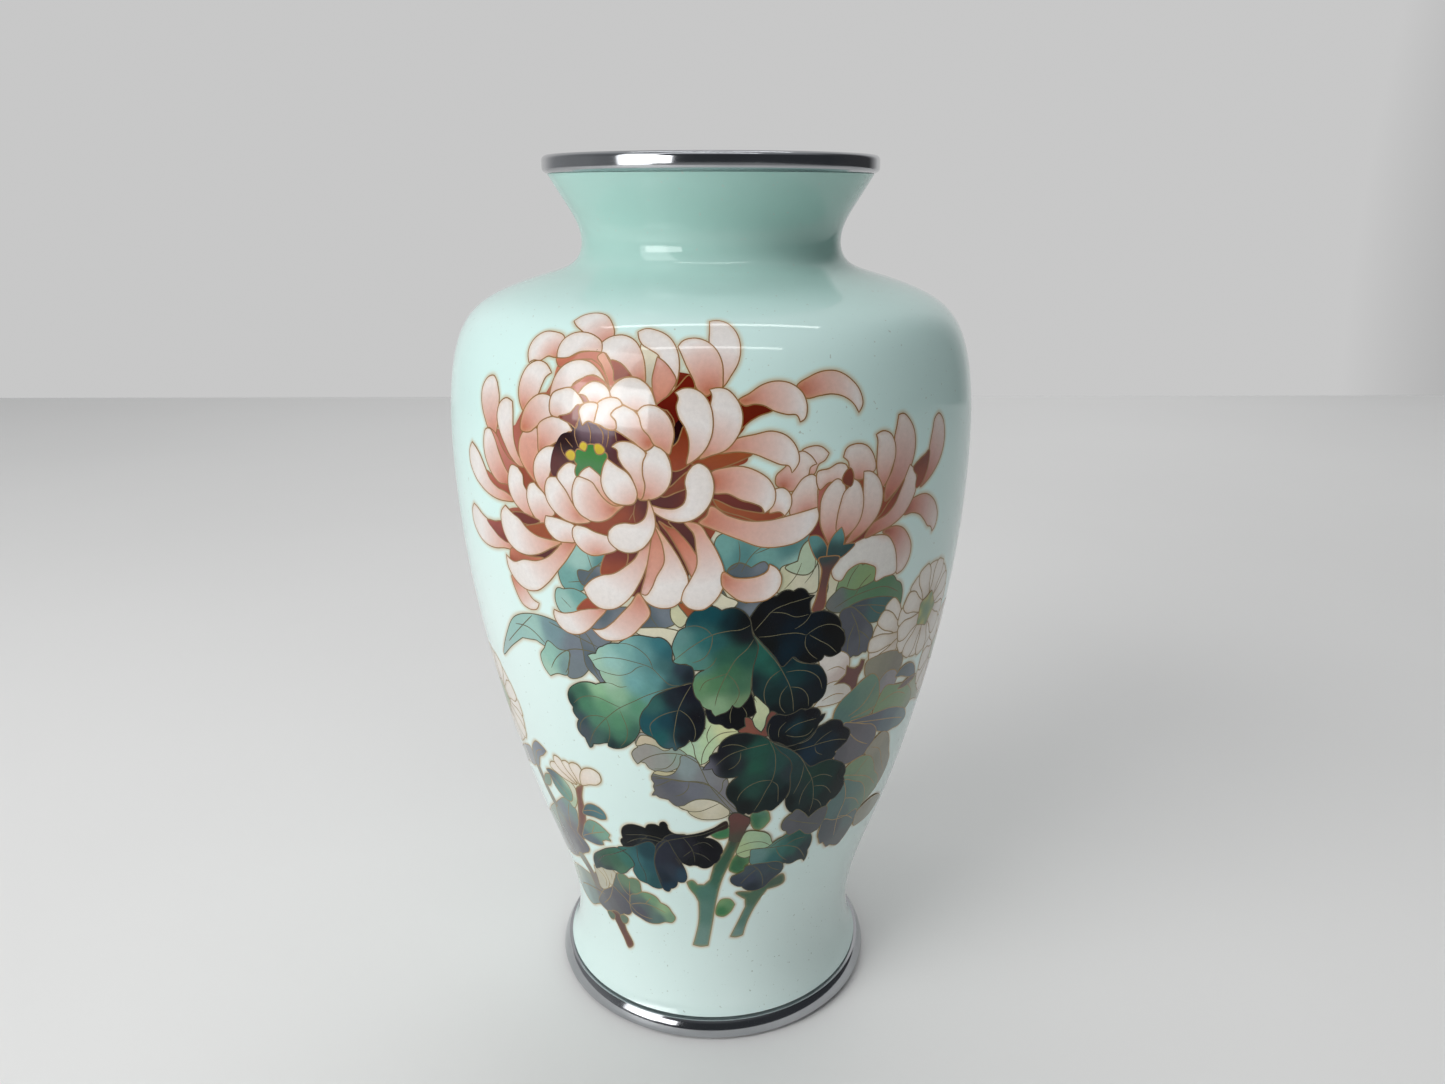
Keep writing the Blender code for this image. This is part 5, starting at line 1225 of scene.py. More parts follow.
leaf("heart_south_east", """
     26,92,44,64,64 27,86,40,56,56 24.5,81,24,32,32 28,81,32,48,48 32,75,24,32,32 33,84,28,60,56
     34,89,28,56,48 38,88,24,52,48 42,87,24,32,32 42,81,32,40,40 37,80,24,40,40 30,90,36,64,56
     22,98.5,44,72,72""",
     "17,102.6 19.5,101.2 23,99 25.5,96.7 27.8,93.9 29.3,92.5 33,93 36,93.1 38,92.4 40,91.3 42,90 "
     "43.3,88 43.7,86.2 43.3,85c 44.2,83.5 44.3,81.5 43.3,79.5 41.5,78 40,77.9c 39,76.8 38.3,75.3 "
     "37,74 35.3,73.9c 34,73 33,72.7 32.5,71.4c 31.5,72.3 31,73.1c 29.5,73.6 28.3,74.8 27.6,76.2 "
     "27.3,77.4c 26.3,77 25,77.6 23.8,79 23,80.8 22.8,82.5 23.6,85 23.7,88 23.2,90.5 23.5,93 22.5,96 "
     "19,99.5")
veins("15.8,103 17.5,99.5 18.2,95 17.8,90.5 16,86.5 14.3,82.5 12.8,79.8; 17.5,90 13.5,90 10,88.3 8,86 "
      "7.3,84; 17.7,89.5 19.5,88 20,85.5 20.3,82; 15.5,102.3 12,101.8 9.5,101.3 5,99.8 0.8,96.2; "
      "9.5,101.5 7.5,102.5 5,102.9 2.5,102.2; 7.8,100.2 7.6,97.8 6.2,95.8 4.5,94.8; 15.8,103.2 "
      "18.5,101.4 22,99.6 25.5,96.5 28.5,91.8 31,87.5 32.3,83 32.8,79 32.3,75.5; 23.2,90 23.8,87 23.5,84 "
      "22.8,82.5; 20,105.2 22.5,107 26,107.8 29,108; 18.3,104 18.3,106.5 20,108.5; 20.5,104.3 24,103.2 "
      "27.5,103.7 28.5,105; 23,98.9 28,99.2 33,99.6 38,99.2 41,98.3; 30,98.8 30.7,97 33,95.5; 24,100.9 "
      "27.5,101.6 29.6,104; 16,103.3 15.2,106 15.5,108.5; 29.5,99.2 31.8,101.3 35,102.8; 30.5,88 34,88.5 "
      "38.5,86.5; 31.8,85 36,84 39.5,80.5; 27.3,93.5 27,89 25.3,84; 32.5,80.5 35,79 37,76; 30.8,87.8 "
      "28.5,84 27.8,79.5")
end_motif("leaf_heart", WIRE_FINE, WIRE_DARK)

patch("node_brown", [(8, 77.5, rgb(92, 50, 44)), (7, 74, rgb(84, 50, 42)), (7.5, 70.5, rgb(62, 60, 44))],
      "5.2,76.5c 4.9,77.8 6,79.4 8,79.5 10,78.4 11.7,77.4c 11.8,75.5 10.9,73.8 10.2,71.5 9.6,69.2c "
      "7.5,68.6 5.2,69.6c 5.4,73", replaced="leaf_node")
leaf("shade_west", "-28,69,12,16,20 -20,71,8,12,16 -32,64,20,20,24 -24,66,32,40,44",
     "-34,61.3 -33.3,62.5 -33.8,63.8 -33.5,65 -32.5,65.8c -32.6,67.5 -31.8,69.8 -30,71.5 -27.5,72.4 "
     "-25,72.4 -22.8,71.9c -22,73.2 -20.5,73.9 -19,74 -17.8,73.5c -17.2,74.9 -15.8,75.4 -14.9,74.4c "
     "-14.6,72.6 -13.3,71.5 -9,71.1 -11,68.5 -16,65.5 -22,65.5 -27,64", replaced="leaf_shade")
leaf("shade_east", """-2,69,12,16,20 0,64,16,16,24 -8,66,32,32,40 -5,60,12,16,20 -12,66,36,40,48
     4,75,48,36,32""",
     "-14,71 -9,71.1 -4,72.3 0,74 4.5,76.3 4.9,74.6 1,72.6 -3,70.3c -1.5,70.3 0.5,69.5 2.2,68 "
     "3.1,66.3c 3.3,64.8 2.6,63.6c 2.3,61.8 1.2,60.3c 0.4,60 -0.3,59.2c -1.5,58.4 -3,58 -4.5,58.3 "
     "-5.5,58.9c -7,59.1 -8.5,58.8 -10,59.3c -11.3,60 -12,61.2 -14,64 -16,66 -17,68.5")
leaf("lagoon_teal", """-24,62,32,64,72 -29,58,52,100,104 -27,52,48,96,96 -23,50,36,76,80
     -34,59,56,104,96 -23,56,40,80,88""",
     "-36,60.8 -30,63 -21,66.5 -19.5,60 -19.5,52 -20.3,47.6c -22,47 -24.5,47.2 -26.5,48.2c -28.3,48.5 "
     "-30,49 -31,50.5c -31.6,52.5 -31,55 -33,56.5", replaced="leaf_lagoon")
leaf("lagoon_tail", """-50,49,56,72,72 -45,52,56,88,72 -39,54,56,96,76 -44,49,52,64,64
     -33,57,56,108,96 -37,51,76,112,88""",
     "-36,60.8 -40,59.6 -46,56.3 -50.5,53 -52.5,49.5 -53,46.3c -51,47.2 -49,48.3 -46,48.5c -44,49 "
     "-41,49.8 -38.6,49.2c -36,50.3 -33,53 -30.3,55.6 -31,58")
leaf("lagoon_dark", """-18,62,40,44,56 -15,56,44,52,64 -12,55,40,64,80 -12,60,40,40,48
     -17,49,24,52,68 -18,52,24,36,48""",
     "-19.5,66.3 -16,68.5 -13.5,64 -12,61 -10.8,58.5 -10,55.8 -10,53 -11,51.5c -12.5,51.2 -13.6,51.5c "
     "-14.3,49.5 -15.7,48.3 -16.8,48c -18,46.4 -19.3,46.6 -20.4,48c -21.2,52 -21.7,56 -21.4,60 "
     "-20.6,63")
veins("4.5,75.5 -3,71.8 -10,70 -17,67.3 -21.3,60 -20,50; -10,70 -7,65 -6.5,60.5; -7,67 -2.5,68.5 0,66.5; "
      "-7,64.5 -3,63 -1,61; -16.5,68.3 -19,69 -22.5,69.2 -28,68.3 -31,67.5; -22.5,69 -23.8,67.8 "
      "-25.5,66.3; -17,67.3 -25,67.5 -31,64.5; -32,61.5 -39,57.5 -45,54.5 -50,50; -27.5,63.5 -28,58 "
      "-26.5,52 -27,48.8; -16.5,68 -18,66 -20,64; -13.5,61.5 -12.5,60.5 -12,59; -7,65.5 -10.5,62.5", 0.28)
end_motif("leaf_shade", WIRE_DARK)

# ---------------------------------------------------------------- low leaves on the right
patch("low_bud_pale", [(14, 70, rgb(160, 188, 150)), (18, 68, rgb(148, 180, 146)),
                       (10, 66, rgb(164, 186, 138))],
      "8,64 8.7,67.5 9.8,70.7c 11,72.3 13,72.5 15,72 17.5,71.1 19.3,69.5 20,67.6c 20.7,66 20,64 15,63.5 "
      "11,62", replaced="leaf_low_east")
leaf("low_lobe_teal", """17,63,104,140,136 24,63,64,112,104 22,60,56,104,104 30,67,48,88,80
     33,61,52,64,68 28,58,56,68,72 28,62,52,96,88 35,57,56,64,64 20,66,92,132,120""",
     "13,64.9 16,65.1 19,65.3 20.5,66.4 22,67.5 24,68.2c 25.5,69.2 28,69.6 30.5,69.4 33,68.4 35,66.8 "
     "36.2,64.5 36.3,62 35.6,59.9c 36.1,58 35.5,55.4c 34,56.7 32,56.8 30,56.2 28.5,56.3 27,57c "
     "25,57 19,57.5 15,58 13,60 13,62.5")
leaf("low_lobe_slate", """14,53,64,72,88 18,55,68,80,88 10,52,60,68,80 15,49,40,48,56 22,52,64,72,80
     23,56,64,80,84 12,56.5,72,84,88""",
     "14.2,58.8 11.5,58.1 11.3,56.5c 9.5,55.6 7,54.6c 6.4,53 6.9,51.7 8,50.7 9.5,49.9 11,49.7c "
     "12,48.6 13.5,47.7 16,47.2 18.5,47.5 20.5,48.2c 22,50 24,51.8 26,53.3c 26.7,55 26.2,56.8 "
     "24,58.3 19,58.8")
patch("low_shade", [(30, 74, rgb(74, 76, 82)), (25, 74, rgb(82, 84, 90)), (36, 72, rgb(72, 76, 80))],
      "25.5,69 24.9,70.3c 23.5,71 22.8,72.5 23.3,74.6 24.5,75.9 26,76.8c 27,77.8 30,76.2 32.5,73.5 "
      "36,75.7 38.8,76 38.7,69 37.5,67.4c 36.4,67.2 35,66.8 30,69.8", replaced="leaf_low_shade")
veins("8,63.8 12,65 16,65.2 20,64.8 25,64.5 30,62.8 35.2,57; 20,64.9 23,67 27,68.3; 25.5,64.3 29,66 "
      "33,66; 9,66.8 13,68 17,67.5 19.7,65.8; 14,58.6 17,56 19,52 19.3,48.8; 16.2,56.8 13,54 10.5,51; "
      "19.5,58.5 22,56 25.3,54.5; 22,64.5 24,61 27.5,58; 24.5,75 30,72.5 37,70", 0.24)
end_motif("leaf_low_east", WIRE_FINE)
# ---------------------------------------------------------------- the great bloom
patch("bloom_depths", [(-30, 180, NIGHT), (-10, 180, WINE), (-12, 170, WINE), (0, 182, RUST),
                       (2, 172, RUST), (-25, 163, RUST), (-46, 170, RUST), (-54, 176, ROSEWOOD),
                       (-30, 198, SALMON), (-18, 197, SALMON), (-5, 192, MAROON), (-14, 152, WINE),
                       (-22, 152, MAROON), (-42, 152, WINE), (-50, 157, RUST), (-40, 158, RUST),
                       (-58, 166, ROSE), (5, 165, RUST)],
      "-39,193 -38,197 -33,201 -26,202 -20,200 -14,199 -9,197 -4,196 0,194 3,191 8,189.5 7.5,185 "
      "4,181 8,179 8,177.5 4,176 6,172 12,166.5 10,162.5 2,163 -1,158 -4,152 -8,148 -14,145.5 "
      "-20,144 -27,145 -22,152 -24,157 -30,157 -34,157 -38,154 -44,149 -49,146.5 -54,147 -54,151 "
      "-60,154.5 -60,156 -56.5,157 -55,160 -50,162 -54,165 -60,167 -60,171 -58,177 -59,180 "
      "-55,180 -50,182 -48,185 -46,188 -43,190 -40.5,190.5", wired=False)

petal("bloom_a1", (-25, 202), LIGHT, "-38,208.3c -36.5,210.3 -33,211.6 -29.5,211 -26.5,208.5 "
      "-24.5,204.8 -25,202 -28,202.5 -30,203.5 -34,205.6 -36.5,207",
      replaced="great_bloom_outer_petals")
petal("bloom_e3", (2.7, 193.5), WHITE, "-0.5,209.6c 1.5,209.9 4,209 6,206.5 6.9,203 6.3,199 "
      "4.5,196 2.3,193.4 1,196 0,200 -0.6,204 -0.5,206.5")
petal("bloom_e2", (-0.5, 192), PINK, "-8,202.4c -7,203.8 -4.5,204.6 -1,203.7 1.3,201.5 2.5,198.5 "
      "2.6,195.5 2.3,193.2 0.5,192.5 -1,191.5 -3.3,193 -4.3,195.3 -5.8,198 -7,200.5")
plain("bloom_e0", rgb(222, 214, 190), "-17,203 -13,201.5 -12,199.5 -12.8,197 -13,193 -15.5,194 "
      "-15.7,197.5 -16.8,200.5")
petal("bloom_e1", (-9, 189), WHITE, "-18.5,206c -17,206.9 -13.5,206.5 -10,204.5 -8,201.3 "
      "-7.4,198 -8,194 -9.5,191 -11,192 -12,195 -12.5,200.3 -14.5,201.5 -16.8,202.8 -18,204.5")
petal("bloom_e1_fold", (-11, 187), DEEP, "-12.7,200c -10.5,198.5 -9,196.8 -8,194.8 -8.8,193 "
      "-10.5,190.8 -12.3,189.2 -13.3,192.3 -13.6,195 -13.2,197.5", edge=ROSEWOOD)
petal("bloom_a2", (-39, 198), LIGHT, "-47.2,196.7c -48.4,199.5 -47.8,202.5 -45.5,204.5 -42,204.8 "
      "-38.5,203.8 -37.5,200 -39,198.6 -41.5,198.7 -43.7,197.5 -46,197.4")
petal("bloom_a4", (-15.5, 193.5), LIGHT, "-27.8,199.5c -27.9,201.5 -26,204 -22.5,205 -18.8,203.7 "
      "-16.5,200.8 -15.3,197 -15.3,194 -18.5,195.2 -20.5,197.5 -24,198.8 -26,200.3")
petal("bloom_a3", (-27.5, 199), WHITE, "-38,197.2c -39,200 -38.4,202.8 -36,204.8 -32.5,205.2 "
      "-29.5,204.4 -27.2,202.8 -26.8,200.5 -30,200.6 -32.5,200.3 -35,199")
plain("bloom_a3_under", SALMON, "-39,198.5c -37.5,196.5 -35,197.5 -32,198.5 -29,198.8 -26.5,197.5 "
      "-24,194.5 -22.7,193.5 -22.5,195.5 -23.5,198 -25.5,200.3c -28,200.6 -32,200.2 -35.5,198.8",
      ROSEWOOD)
plain("bloom_a4_under", rgb(222, 164, 138), "-26.3,200.5 -24.5,198.8 -23,196.5 -22.3,193.8 "
      "-23.3,192.8 -24.5,195 -26,197.5 -27.5,199.5", SALMON)
plain("bloom_a4_shade", rgb(158, 80, 60), "-24,198.8 -21.5,198.3 -19.5,196.7 -18.3,195.2 -21,194.8 "
      "-22.5,194.2 -23,196.5")
petal("bloom_a5", (-47.5, 185.5), LIGHT, "-39.5,195c -41.5,196.9 -44,197.5 -47,196.3 -49,193 "
      "-49.4,190 -48.5,187 -47.5,185.6 -45,188.5 -43,189.7 -42,192 -41,194")
petal("bloom_b1", (-38.5, 188), WHITE, "-38.9,189 -38.7,193.5 -36.5,196.8 -33,198.4 -29.5,198.2 "
      "-26.5,196.3 -24.3,193.5 -23.5,192.3c -25.5,194.3 -28,195.3 -30.5,194.5 -33,193 -33.8,191.5 "
      "-36,190")
plain("bloom_b1_fold", SALMON, "-33.9,192c -32,193.3 -29.5,195 -27,195 -25,194 -23.5,192.4c "
      "-26,193 -28.5,193.3 -30,192.3 -31.3,190.8 -32.7,191.2", ROSEWOOD)
petal("bloom_q1", (-57.5, 177), PINK, "-57.8,191c -59.5,192.4 -62.3,191.7 -64.3,189 -64.2,185.5 "
      "-62.5,182 -60.5,179.4 -58,178.4 -56.6,181.5 -56.5,185 -56.5,188 -57.3,190")
plain("bloom_q3", rgb(196, 128, 112), "-60.5,179.9 -57.3,178.8 -55,176 -52.5,173.8 -49.5,172.5 "
      "-52.8,169.8 -54.5,172 -57,176", ROSEWOOD)
petal("bloom_q2", (-47, 171.5), LIGHT, "-51.3,187.3c -53.5,187.9 -56,186.5 -57,183.5 -56,180 "
      "-54,177 -51.5,174 -48.5,172.3 -47.2,172.4 -49,175 -50.3,178 -50.8,182 -51,185.5")
petal("bloom_q4", (-53.5, 166.5), PINK, "-62,179.3 -60,179.7 -58,177.7 -56.3,174.5 -54.3,171.5 "
      "-52.7,169.5 -52.7,166.6 -55.5,166.1 -58,167.3 -61,170 -62.7,173 -63,176.5")
plain("bloom_q5_under", rgb(176, 92, 74), "-63,169 -60.3,168.6 -57,167 -52.7,166.6 -52.5,164.4 "
      "-57,164.8 -60.5,166", RUST)
petal("bloom_q5", (-51, 163), LIGHT, "-69.5,174.8c -71.3,172.5 -71.3,169.5 -69,166.5 -65,164.2 "
      "-60,162.8 -55,162.7 -51,163.5 -54,165 -58,165.7 -61,167.2 -63,169.8 -65.3,172.5 -67.5,174")
petal("bloom_b5", (-44, 169), DEEP, "-41,180.5c -42.2,181.8 -45,182.1 -47.5,180.5 -48.8,177.5 "
      "-48.5,174.5 -46.5,171.8 -43.5,169.5 -43,172 -43,174.5 -42,177 -41,179.5")
petal("bloom_b3", (-47.2, 181), PINK, "-47.9,181 -47.5,185 -45.5,188 -42.5,189.9 -39.5,189.9 "
      "-37.6,188.7 -38,187.5c -38.5,185.8 -39,184.5 -41.5,183.5 -43.5,182 -45,181")
petal("bloom_b4", (-42, 176.5), PINK, "-42.5,182.8 -40,184.7 -37,185.3 -34.3,184.5 -32.5,182.4c "
      "-34,182 -34.8,180.8 -37.3,179.3 -39.5,178 -42,176.3 -42.5,180")
petal("bloom_b2", (-37.5, 184.5), WHITE, "-38.5,185.5 -38.5,190.5 -36,191.7 -33.5,192.1 "
      "-31.5,190.9 -29.7,188.8c -31.2,188.2 -32.5,186.8 -34,186.2 -36.2,185.2", width=0.34)
petal("bloom_b6", (-40.5, 166), LIGHT, "-36,177.5c -37,178.2 -39,178.4 -42,176.8 -43.8,174 "
      "-43.8,170.5 -42,167.8 -40.3,166.6 -40,169 -39.4,171 -38.2,173.5 -36.8,174.8 -36,175.5")
petal("bloom_q6", (-45, 159.5), LIGHT, "-49.3,172c -51.5,172.3 -53,169.5 -53,166 -51.5,163.3 "
      "-48.5,161.2 -45,159.8 -45.9,163 -46.2,166.3 -47.5,168 -47.8,170.5 -48.8,171.5")
petal("bloom_q7", (-41, 158.5), LIGHT, "-44,169.2c -45.5,168.7 -46.7,166 -46.2,163 -44.5,160.5 "
      "-42,159 -40.7,159.3 -39.8,161 -38.3,162.3 -39.8,165 -41.2,167 -43,168.3")
petal("bloom_r1", (-52, 150), LIGHT, "-71.5,158.5c -73.3,156.5 -73.5,153.5 -71,150.5 -67,149 "
      "-62,149 -57.5,150 -53,150.7 -56,152.8 -60,153.8 -63,155.7 -66.5,156.7 -69.5,158")
plain("bloom_r1_fold", rgb(152, 66, 54), "-64.5,155.8 -60.5,156.4 -56.8,156.8 -56,154.5 -55,152.2 "
      "-59,152.5 -61.5,153.8", MAROON)
petal("bloom_s2", (-55.5, 143), PINK, "-56,143 -55,139 -53,136 -50,135.2 -47.5,136 -46.5,137.7c "
      "-48.5,138.3 -50.2,140 -51.5,142")
plain("bloom_s1_fold", rgb(188, 110, 84), "-54.5,150.7 -50,150 -46,150.2 -43,150.5 -46,149 "
      "-50,148.3 -55.5,146.6", RUST)
petal("bloom_s1", (-33.5, 157), LIGHT, "-57,148.3c -54.5,147.3 -50,148.7 -45.5,149.3 -42,150.8 "
      "-38.5,153.7 -36,156.3 -32.8,156.6 -35.3,152 -38.5,148.3 -42.5,144 -46.5,141.2 -50.5,140.6 "
      "-54.5,142.3 -56.8,145.3")
plain("bloom_r2_under", MAROON, "-52.5,160.2 -49,161 -46,160.6 -43,159.8 -45.5,158.5 -49,158.4")
plain("bloom_r2_shade", AMBER, "-48.5,157 -44,159 -41.2,159.5 -39.5,156 -37,155.2 -42,154.9 "
      "-46,155.3", RUST)
petal("bloom_r2", (-36.5, 155.5), LIGHT, "-55,161.6c -57,159.5 -57.2,156 -55.5,152.5 -52.5,150.6 "
      "-48.5,150.2 -44.5,151.2 -40.5,153.3 -37,155.5 -41,155.7 -44.5,156 -47.5,157.2 -50,159.2 "
      "-52.5,160.2")
petal("bloom_r3", (-34, 155), WHITE, "-41,161.5c -38,161.5 -35,161 -33,160.4 -32.7,158 -33,156.2 "
      "-35,155.8 -38,155.8 -40.3,157.3 -41.5,159.5")
petal("bloom_t1", (-26, 141), LIGHT, "-41.5,137.2c -39,136.8 -36.5,137.3 -33.5,138.5 -30,140.2 "
      "-26,140.2 -29,136.3 -31.5,133.6 -34.5,131.8 -38,131.6 -40.8,133.3 -41.8,135.8")
plain("bloom_t1_under", rgb(158, 66, 42), "-34.3,138.5 -31.5,141.8 -29.3,142.8 -27.5,140.3 "
      "-31,139.3", RUST)
petal("bloom_v1", (-16.5, 146), PINK, "-30.3,134c -27.5,134.5 -24.8,136.5 -22,139.5 -19.5,142.3 "
      "-17.3,145.2 -15.7,142.8 -14.8,140.5 -17.2,136.6 -20.5,133.3 -24,131.8 -27.5,131.8")
plain("bloom_u1_under", MAROON, "-26.3,148.6 -22.5,156.5 -20,155.8 -20.5,151.2 -23,149.3", RUST)
petal("bloom_u1", (-14.3, 161), LIGHT, "-31.7,144.7c -29.5,147 -26.5,148.7 -23.5,149.5 "
      "-20.5,151.5 -17.8,154 -16.3,157 -14.2,160.8 -14,157 -15.2,152 -17.2,147.5 -20.3,143 "
      "-24,140.3 -27.5,140 -30.3,141.8")
petal("bloom_w2", (-12.5, 164), DEEP, "-16.5,144.5 -15.5,150 -14.5,155 -13.6,160 -12.9,163 "
      "-11,158 -10.7,153.5 -12.9,149 -14,145.5", edge=ROSEWOOD)
petal("bloom_w1", (-12, 164), LIGHT, "-17,145.2c -15.5,143 -12.5,141.7 -9,142.3 -6.5,145 "
      "-5.5,149 -6.8,153 -9.3,157.5 -11.8,161 -13,162.5 -11.3,157.5 -11,153.5 -13,149.5 "
      "-14.3,146.5 -15.7,144.8")
petal("bloom_x2", (-9, 165), along([(0.0, RUST), (0.5, SALMON), (1.0, ROSE)]),
      "-12,163.2 -9,161.7 -6,163.2 -3.6,160 -3,156 -3.2,152 -4.3,149.5 -6.3,153.5 -8,157 "
      "-10,160.5", edge=RUST)
plain("bloom_x2_shade", WINE, "-9.8,163.2 -7.5,160.7 -5,157.7 -3.4,155.2 -4.1,160 -6,163.2")
petal("bloom_x1", (-5, 165), LIGHT, "-7.3,144c -5.5,142 -2.5,141.6 0.5,143.8 2.5,147.5 2.7,151.5 "
      "1.2,156 -0.7,159.5 -3,162.8 -6.2,163.2 -4.2,160.5 -3.7,157 -3.5,153 -5.2,149 -6.7,146.3")
petal("bloom_y1", (2.2, 150), PINK, "2.5,151.2 5,149.8 8,149.5 11,150 12.7,151 13.2,152.7c "
      "15,151.5 16.2,149 15.5,146 13.3,144 10,143.3 6.5,143.8 4,145.6 2.2,147.8")
petal("bloom_g2", (20, 192), PINK, "19.5,193 23,195.2 26.5,196.2 30,196 33.5,194 35.8,191 "
      "36.2,188 35,186.3c 33.8,188.3 31,190.3 28,191 25,190.8 21.5,190.5")
plain("bloom_g1_under", rgb(104, 34, 18), "6.3,190 9.5,190.1 11.5,189.7 13.8,188.3 10.5,187 "
      "8.5,185.9 6.3,184.3 6.3,187", MAROON)
petal("bloom_g1", (7, 189.8), PINK, "6,190.4 8.5,192 11.5,193.8 15,194.5 18.5,193.7 21,191.5 "
      "21.8,188.5 21,185.8 20,185.3c 19.3,186.8 17,187.1 14,188 11.5,189.3 9.5,189.6 7.3,189.3")
plain("bloom_h1_under", AMBER, "-4.8,176.8 -1.8,178.2 2.3,179.6 5,179.5 9,178.7 6,177.1 3,176 "
      "0,175 -2,176", RUST)
petal("bloom_h1", (2, 179.5), PINK, "5,182 9.5,183 13.5,183.6 17,182.3 19.2,179.5 19.7,176.5 "
      "18,174c 17.3,175.6 15.5,176 12.5,177.3 9.5,178.6 6,179.2 1.5,179.2 3,180.8")
plain("bloom_i1_under", MAROON, "0,170.2 3.5,169.9 7,168 10.5,167.2 11.5,165.5 7.5,165.5 4,166.2 "
      "0.5,168")
plain("bloom_i1_shade", AMBER, "0.3,168.3 5,166.5 11.5,165 13.5,165.5 16.4,164.6 11.5,163 "
      "6.5,164.5 1,167", RUST)
petal("bloom_i2", (13.8, 165), WHITE, "13.9,170.3 16,170.7 17.8,169 17.9,166.3 16.5,164.1c "
      "15.3,165.1 12.9,165 13.9,168")
petal("bloom_i1", (0.2, 172.5), PINK, "-0.2,174.8 3,175.8 6.5,176 10,174.8 13,172.5 14.3,169.5 "
      "13.8,166.8 11.8,165c 11,166.5 9.5,167.3 6.5,168.3 3.5,169.8 0,170")
petal("bloom_j1", (-3, 164), PINK, "-0.5,166.9 3.5,164.8 8,163.4 13,163.3 18,164.2 22.5,165.1 "
      "24.3,165.5c 24.8,163.3 23.5,160.3 20.3,157.8 16,156.8 11,157 6.5,158.8 2.5,160.5 "
      "-0.5,161.8 -3,163.1 -1.3,164.8")
petal("bloom_f2", (-1.8, 177), LIGHT, "-0.5,192.9c 1.3,193.3 3.3,193 5.5,191 6.8,188 6.7,185 "
      "5.2,181.8 3,179.6 0,178.5 -2.8,177.7 -1.5,180.3 -0.5,183 0,186.5 -0.3,189.5 0,191.8")
plain("bloom_f1_behind", rgb(110, 30, 18), "-12.4,189.1 -9.5,191.7 -7.5,193.7 -5,196 -3.8,193.3 "
      "-6,192.3 -7.2,191 -7,188.5 -6.7,186.5 -8,184.6 -8.6,186.5 -10,188.3")
plain("bloom_f1_dark", NIGHT, "-7.9,185.7 -6.7,186.5 -5.7,184.5 -7.3,181.5 -9.2,179 -8.6,181.5 "
      "-8.3,183.5", wired=False)
plain("bloom_f1_amber", rgb(128, 54, 28), "-6.1,184.9 -4.5,182 -4.5,179.5 -4.9,176.7 -8.9,175.1 "
      "-9.2,177 -9.8,179 -7.6,181.5", RUST)
petal("bloom_f1", (-5, 176), WHITE, "-8.2,192.2c -6.5,193.1 -4.5,193.2 -2,192 -0.3,189.5 "
      "0.3,186.5 0,183 -1.3,180 -3.3,177.8 -5.5,176.5 -5.1,179.5 -5.1,182 -5.9,184.5 -7.4,187 "
      "-7.9,189.2 -7.5,191.2")
plain("bloom_k1_amber", rgb(132, 58, 26), "-12.3,170 -9.5,171.2 -7,173.5 -5.2,174.9 -5.2,171.5 "
      "-8,170 -11.3,169")
petal("bloom_k1", (-14, 168), WHITE, "-4.3,176.2c -3,176.8 -1,175.8 0.3,173 0.2,169.3 -1.5,166 "
      "-4,163.9 -7.5,163.1 -10.5,163.8 -12.8,165.1 -14.3,166.9 -11,166.3 -8,166.4 -6.3,167.6 "
      "-5.7,170 -6,172.5 -5.5,174.5")
petal("bloom_c7", (-15.5, 167.5), LIGHT, "-14.5,178.7c -14.8,180 -13.3,180.7 -11,179.8 -9.3,177 "
      "-8.9,174 -9.8,171 -12,168.8 -14.5,168 -16.3,168 -15.6,171 -16,174 -15.9,177")
petal("bloom_r4", (-27, 153), LIGHT, "-32.2,160.5c -30,160.3 -27.5,159.4 -25,158.9 -23.2,158.5 "
      "-22,156 -25.5,154.1 -29,153.5 -32,155 -33.6,157.8 -33.2,159.8")
petal("bloom_r5", (-14, 169), WHITE, "-24,160c -22.5,161.5 -20,162.3 -17.5,162.3 -15.5,163.5 "
      "-14.5,166 -14.3,168.2 -13,165 -12.8,162 -14.1,158.6 -16.4,156.1 -19,155.1 -21.8,155.6 "
      "-24.2,158")
# the mauve spots at the top of the hollow are a painted reflection of the window on the dark enamel
patch("bloom_hollow", [(-24, 184, MAUVE_REFLECTION), (-30, 184.5, MAUVE_REFLECTION), (-20, 182.5, WINE), (-20, 175, WINE),
                       (-34, 181, NIGHT), (-37, 173, WINE), (-28, 176, NIGHT), (-33, 186, NIGHT)],
      "-38.5,176 -37,179.5 -35.5,181.5 -33,182.2 -31.5,184 -31,187 -29,187.5 -24,187 -21,184.5 "
      "-17,182 -15.5,180.5 -19,178 -21.5,176 -23,173 -25,171 -29,171 -33,171.5 -36.5,170.5 "
      "-38.5,172", wired=False, replaced="great_bloom_hollow")
plain("bloom_hollow_rust", rgb(140, 66, 50), "-36.5,185.4 -33.5,186.4 -31,188.5 -30.2,187.5 "
      "-31,185.5 -31.8,183.2 -33,183.9", MAROON)
petal("bloom_d1", (-14, 181), LIGHT, "-23.2,186.5c -22.5,188 -20.5,189 -18,188.3 -16.4,186.8 "
      "-15.6,184.9 -13.6,183.1 -12.6,181.2 -14.8,179.2 -17.5,181 -20,182.5 -22.2,184 -22.2,185.8",
      width=0.34)
petal("bloom_d3", (-17, 187), WHITE, "-23.9,191.3c -22.5,193.5 -20,195.1 -17,195.1 -14.2,193.3 "
      "-12.8,190.5 -12.4,188.9 -15,188.7 -17,188 -19,188.7 -21.5,189.9", width=0.34)
petal("bloom_d2", (-12, 178), PINK, "-16.8,187.7c -15.5,189 -13,189.3 -10.5,188 -8.8,185.5 "
      "-8.3,183 -8.8,180.5 -9.4,178.6 -11.3,179.9 -12.8,180.6 -14,182.5 -15.5,184.1 -16.2,186.3")
